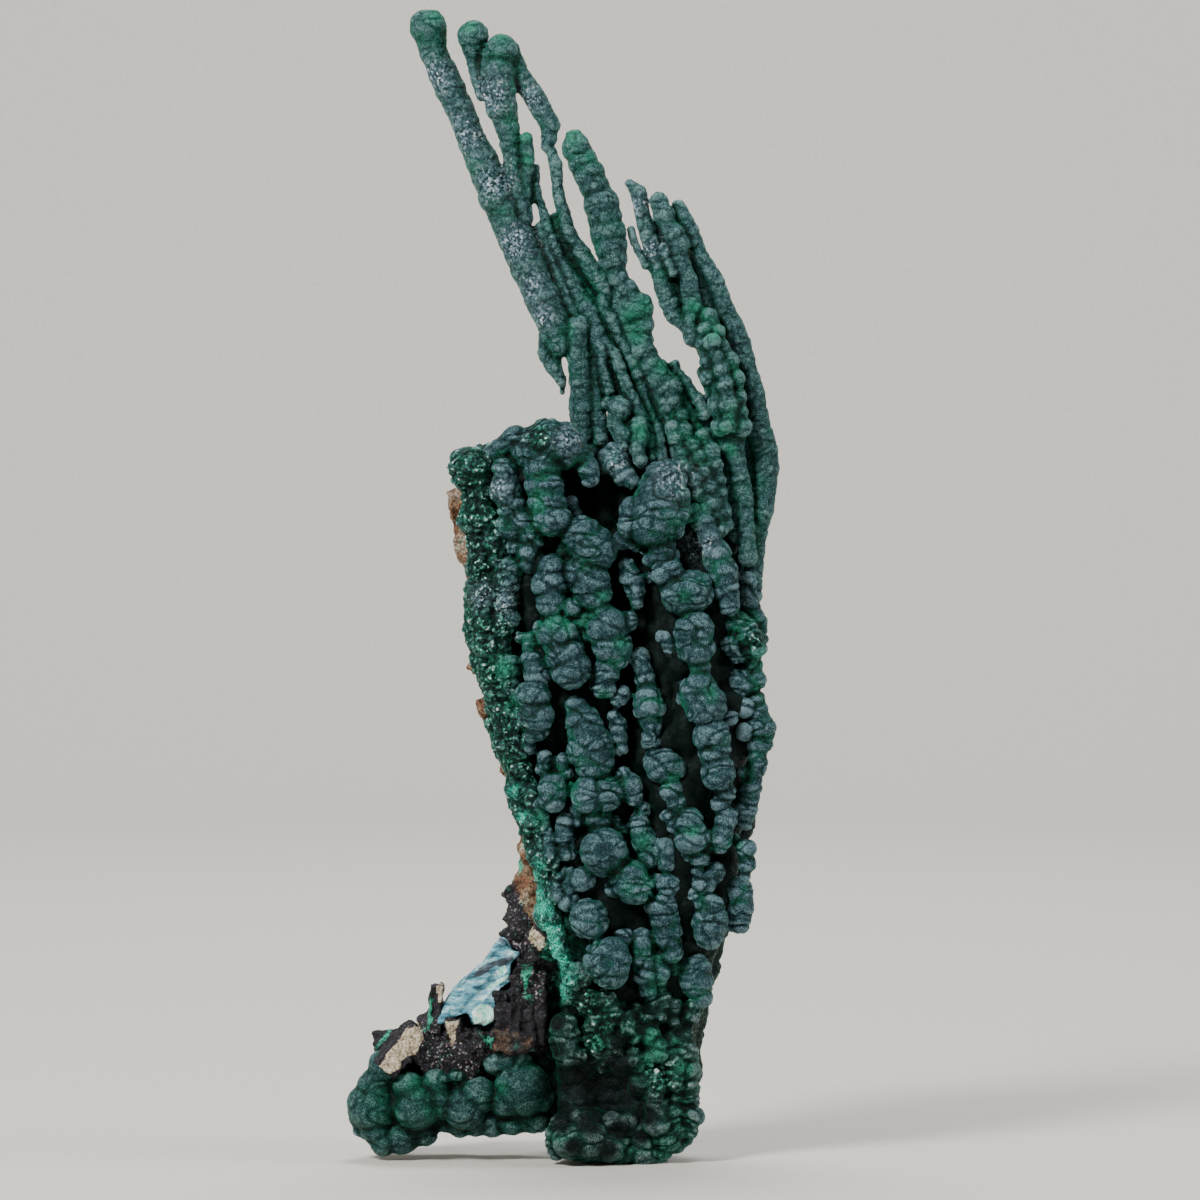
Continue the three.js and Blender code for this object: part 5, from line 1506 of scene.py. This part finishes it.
print("patches:", len(CREAM), "cream,", len(FILM), "green,", len(FLECKS), "flecked")

# %% [markdown]
# Rock breaks into angular blocks. One block with a bumpy surface would look like dough, so both the
# wall and the core of the foot are heaps of turned blocks that are fused. The wall's are placed by
# a seeded rule along its columns, and those that can be told apart in the picture are listed.

# %% Blocks of rock
BOX_FACES = np.array([[0, 1, 3], [0, 3, 2], [4, 6, 7], [4, 7, 5], [0, 4, 5], [0, 5, 1],
                      [2, 3, 7], [2, 7, 6], [0, 2, 6], [0, 6, 4], [1, 5, 7], [1, 7, 3]])


def shard(at, size, turn):
    """A turned block of rock: eight corners, turned about x and then about y."""
    corners = np.array(list(np.ndindex(2, 2, 2)), dtype=float) - 0.5
    corners *= size
    about_y, about_x = np.radians(turn)
    turn_x = np.array([[1, 0, 0], [0, math.cos(about_x), -math.sin(about_x)],
                       [0, math.sin(about_x), math.cos(about_x)]])
    turn_y = np.array([[math.cos(about_y), 0, math.sin(about_y)], [0, 1, 0],
                       [-math.sin(about_y), 0, math.cos(about_y)]])
    return corners @ turn_x.T @ turn_y.T + at, BOX_FACES


def heap(columns, seed, blocks=5):
    """Blocks crowded round each knob of the columns: centres up to 0.4 radii off its own, sides
    of 0.8 to 1.5 radii, turned by up to 40 degrees either way. A thin tube joins them."""
    random = np.random.default_rng(seed)
    shells = []
    for centres, radii in map(knobs_of, columns):
        shells.append(bead_tube(centres, 0.75 * radii, waist=0.95))
        for centre, radius in zip(centres, radii):
            for _ in range(blocks):
                at = centre + 0.4 * radius * random.uniform(-1, 1, 3)
                shells.append(shard(at, radius * random.uniform(0.8, 1.5, 3), random.uniform(-40, 40, 2)))
    return shells


WALL_VOXEL = 0.65
CRUST_TOP, CRUST_FADE = 84, 12
wall = fused_skin("rock_wall", heap(ROCK, seed=81), WALL_VOXEL)
dress_rock(wall, lambda points: np.clip((CRUST_TOP - points[:, 2]) / CRUST_FADE, 0, 1))

# %% [markdown]
# The core of the foot is black and splintery, with upright slivers on its right and a few pale
# chips. A rule alone would bury them, so the chips and slivers are blocks listed one by one, with
# their middle, their size and two angles, and the heap fills in behind them.

# %% Core of the foot
SHARDS = [
    {"at": [-49.4, 0, 42.6], "size": [3.6, 7, 13.6], "turn": [4, 0]},
    {"at": [-44.4, -3.8, 36.8], "size": [4, 6, 6.4], "turn": [8, 10]},
    {"at": [-20.6, -5, 62.8], "size": [5, 6, 6.4], "turn": [-24, 14]},
    {"at": [-36.4, -3.4, 34.4], "size": [4.4, 7, 5], "turn": [30, 20]},
    {"at": [-58.8, -2, 31.4], "size": [14, 9, 6.6], "turn": [-46, 8]},
    {"at": [-30.6, -4.4, 40.6], "size": [3.6, 5, 14], "turn": [-5, 0]},
    {"at": [-27, -5.6, 42], "size": [3.2, 5, 16], "turn": [3, 0]},
    {"at": [-23.6, -4.8, 41.6], "size": [3.2, 5, 17], "turn": [-3, 0]},
    {"at": [-20.2, -4.2, 43], "size": [3, 5, 20], "turn": [2, 0]},
    {"at": [-27.4, -5.4, 34.4], "size": [12.4, 6, 5.4], "turn": [4, 8]},
    {"at": [-24.6, -4.6, 53], "size": [6, 6, 6], "turn": [20, 20]},
    {"at": [-40.6, -3, 34], "size": [5, 6, 5], "turn": [-20, 12]},
    {"at": [-46.6, -2, 30.6], "size": [7, 6, 5], "turn": [15, -10]},
    {"at": [-53, -1.6, 31], "size": [5, 7, 6], "turn": [-12, 16]},
]
CRUST_ALL_OVER = 1.2
core = fused_skin("foot_matrix", heap(MATRIX, seed=93, blocks=4) + [shard(**block) for block in SHARDS])
dress_rock(core, lambda points: np.full(len(points), CRUST_ALL_OVER))

# %% [markdown]
# ### Chrysocolla
#
# The seam is a slab of chrysocolla, a copper silicate that set from a gel. It is pale blue, waxy
# and layered along its slope, so the eye sees streaks, a grey-blue band and mint patches. A box cut
# to size would miss its ragged edge. So its outline is a list of corners, given a thickness.

# %% Shape of the chrysocolla slab
SLAB = [
    [-48.4, 38.8], [-48.2, 42.4], [-46.4, 46], [-44.6, 48.6], [-40, 52.4], [-35.6, 56.2], [-33, 60],
    [-31, 62.8], [-29.6, 61.4], [-28.2, 58.8], [-25.8, 58.4], [-28.2, 55.6], [-28, 50.4], [-32.2, 47.2],
    [-32.6, 42], [-33, 39.4], [-36, 38], [-39, 38.8], [-40.4, 41.6], [-45.6, 39.8],
]
SLAB_FRONT, SLAB_BACK = -4.8, 5.5
SLAB_SLOPE = math.radians(42)
SLAB_VOXEL = 0.35


def slab_shell():
    """The outline at the front and the back, walls between, and a fan over each face from its
    middle."""
    outline = np.array(SLAB)
    count = len(outline)
    rims = [np.insert(outline, 1, depth, axis=1) for depth in (SLAB_FRONT, SLAB_BACK)]
    middles = [rim.mean(axis=0) for rim in rims]
    points = np.concatenate([*rims, middles])
    here = np.arange(count)
    after = (here + 1) % count
    walls = [np.stack([here, here + count, after + count], 1), np.stack([here, after + count, after], 1)]
    fans = [np.stack([here, after, np.full(count, 2 * count)], 1),
            np.stack([after + count, here + count, np.full(count, 2 * count + 1)], 1)]
    return points, np.concatenate(walls + fans)


print("slab:", len(SLAB), "corners,", SLAB_BACK - SLAB_FRONT, "mm thick")

# %% [markdown]
# Its finish is noise stretched along the slope. Straight bands from a Wave texture would be simpler,
# but a gel flows and tears as it sets, and stretched noise does the same.

# %% Waxy chrysocolla
# The layers are 2 mm apart, as on the slab, and three times as long as thick. The gel's own grain
# is far too fine to show, so it is drawn at 1.2 mm.
LAYER_SIZE, GEL_SIZE = 2, 1.2
MINT = [
    [[-39, 42], [-37.4, 44.4], [-34, 44.4], [-32.8, 42], [-33.4, 39.4], [-36, 38], [-38.8, 39]],
    [[-34.4, 47.8], [-28.4, 51.4], [-28.4, 53], [-34.8, 49.2]],
    [[-31.4, 51.6], [-29.4, 53.6], [-30, 55.2], [-32.6, 53.2]],
]
GREY_BAND = [
    [[-39.4, 51.2], [-38, 53.6], [-27.6, 58.6], [-27.4, 56.6]],
    [[-32, 61.4], [-31, 63.2], [-29.2, 61]],
]


def waxy_chrysocolla(name):
    """Pale blue, streaked along the slope, with a grey-blue band, mint patches and dark threads."""
    material, tree, shader = new_finish(name)
    place = add_node(tree, PLACE, output="Object")
    along = add_node(tree, "ShaderNodeMapping", {
        "Vector": place, "Rotation": (0, SLAB_SLOPE, 0), "Scale": (0.3, 1, 1)})
    streak = add_node(tree, NOISE, {
        "Vector": along, "Scale": per_mm(LAYER_SIZE), "Detail": 5, "Roughness": 0.7})
    grit = add_node(tree, NOISE, {
        "Vector": place, "Scale": per_mm(GEL_SIZE), "Detail": 4, "Roughness": 0.7})
    skin = add_node(tree, RAMP, {"Fac": streak}, stops=[
        [0.32, "#0b181e"], [0.4, "#2c6173"], [0.48, "#58a0b8"], [0.56, "#86c6d6"], [0.64, "#dcf5f8"]])
    slate = add_node(tree, RAMP, {"Fac": streak}, stops=[
        [0.35, "#161d26"], [0.5, "#3c4d5b"], [0.65, "#7f98a4"]])
    white = add_node(tree, RAMP, {"Fac": grit}, stops=[
        [0.34, "#45c9b0"], [0.46, "#a8f5e4"], [0.58, "#f2fffa"]])
    for attribute, colour in (("grey_band", slate), ("mint", white)):
        share = add_node(tree, NUMBER, output="Fac", attribute_name=attribute)
        skin = add_node(tree, BLEND, {0: share, 6: skin, 7: colour}, 2, data_type="RGBA")
    tree.links.new(skin, shader.inputs["Base Color"])
    bump = add_node(tree, BUMP, {"Height": streak, "Strength": 0.9, "Distance": 0.5 * MM})
    tree.links.new(bump, shader.inputs["Normal"])
    # Chrysocolla's IOR is about 1.5, the shader's own. Wax lies near a roughness of 0.4.
    shader.inputs["Roughness"].default_value = 0.42
    return material


WAXY = waxy_chrysocolla("chrysocolla_waxy")
print(WAXY.name, "has", len(WAXY.node_tree.nodes), "nodes")

# %% [markdown]
# The slab also breaks in layers. Steps on plain coordinates would be as tall as wide, so they are
# read on coordinates that are turned to the slope and pressed along it, and the faces come out long
# and thin, one over the other.

# %% The slab itself
slab = fused_skin("chrysocolla_slab", [slab_shell()], SLAB_VOXEL)
points, normals, edges = read_skin(slab)
along = points[:, 0] * math.cos(SLAB_SLOPE) + points[:, 2] * math.sin(SLAB_SLOPE)
across = points[:, 2] * math.cos(SLAB_SLOPE) - points[:, 0] * math.sin(SLAB_SLOPE)
layered = np.stack([0.3 * along, points[:, 1], across], axis=1)
relief = 1.2 * (steps(layered, size=2.4, seed=9) - 0.7) + 0.4 * swell(points, size=3, seed=12)
write_skin(slab, points + smoothed(normals * relief[:, None], edges, 1))
points, normals, edges = read_skin(slab)
add_attribute(slab, "mint", within(points, normals, MINT))
add_attribute(slab, "grey_band", within(points, normals, GREY_BAND))
finish_piece(slab, "chrysocolla_seam", WAXY)

# %% [markdown]
# The paper is uncoated and matt, so it gives the eye nothing to look at. A flat colour would band
# in the render. So a faint cloud of fibres breaks it up. Real fibres are 0.02 mm thick and too fine
# to show, and the cloud is drawn at 3 mm.

# %% Paper finish
FIBRE_SIZE = 3
paper, tree, shader = new_finish("matt_paper")
place = add_node(tree, PLACE, output="Object")
fibre = add_node(tree, NOISE, {"Vector": place, "Scale": per_mm(FIBRE_SIZE), "Detail": 4})
sheet = add_node(tree, RAMP, {"Fac": fibre}, stops=[[0.3, "#d4d0c9"], [0.7, "#dbd8d1"]])
tree.links.new(sheet, shader.inputs["Base Color"])
# Uncoated paper scatters nearly all its light, so it is close to fully rough.
shader.inputs["Roughness"].default_value = 0.9
floor.data.materials.append(paper)
print(paper.name, "on", floor.name)
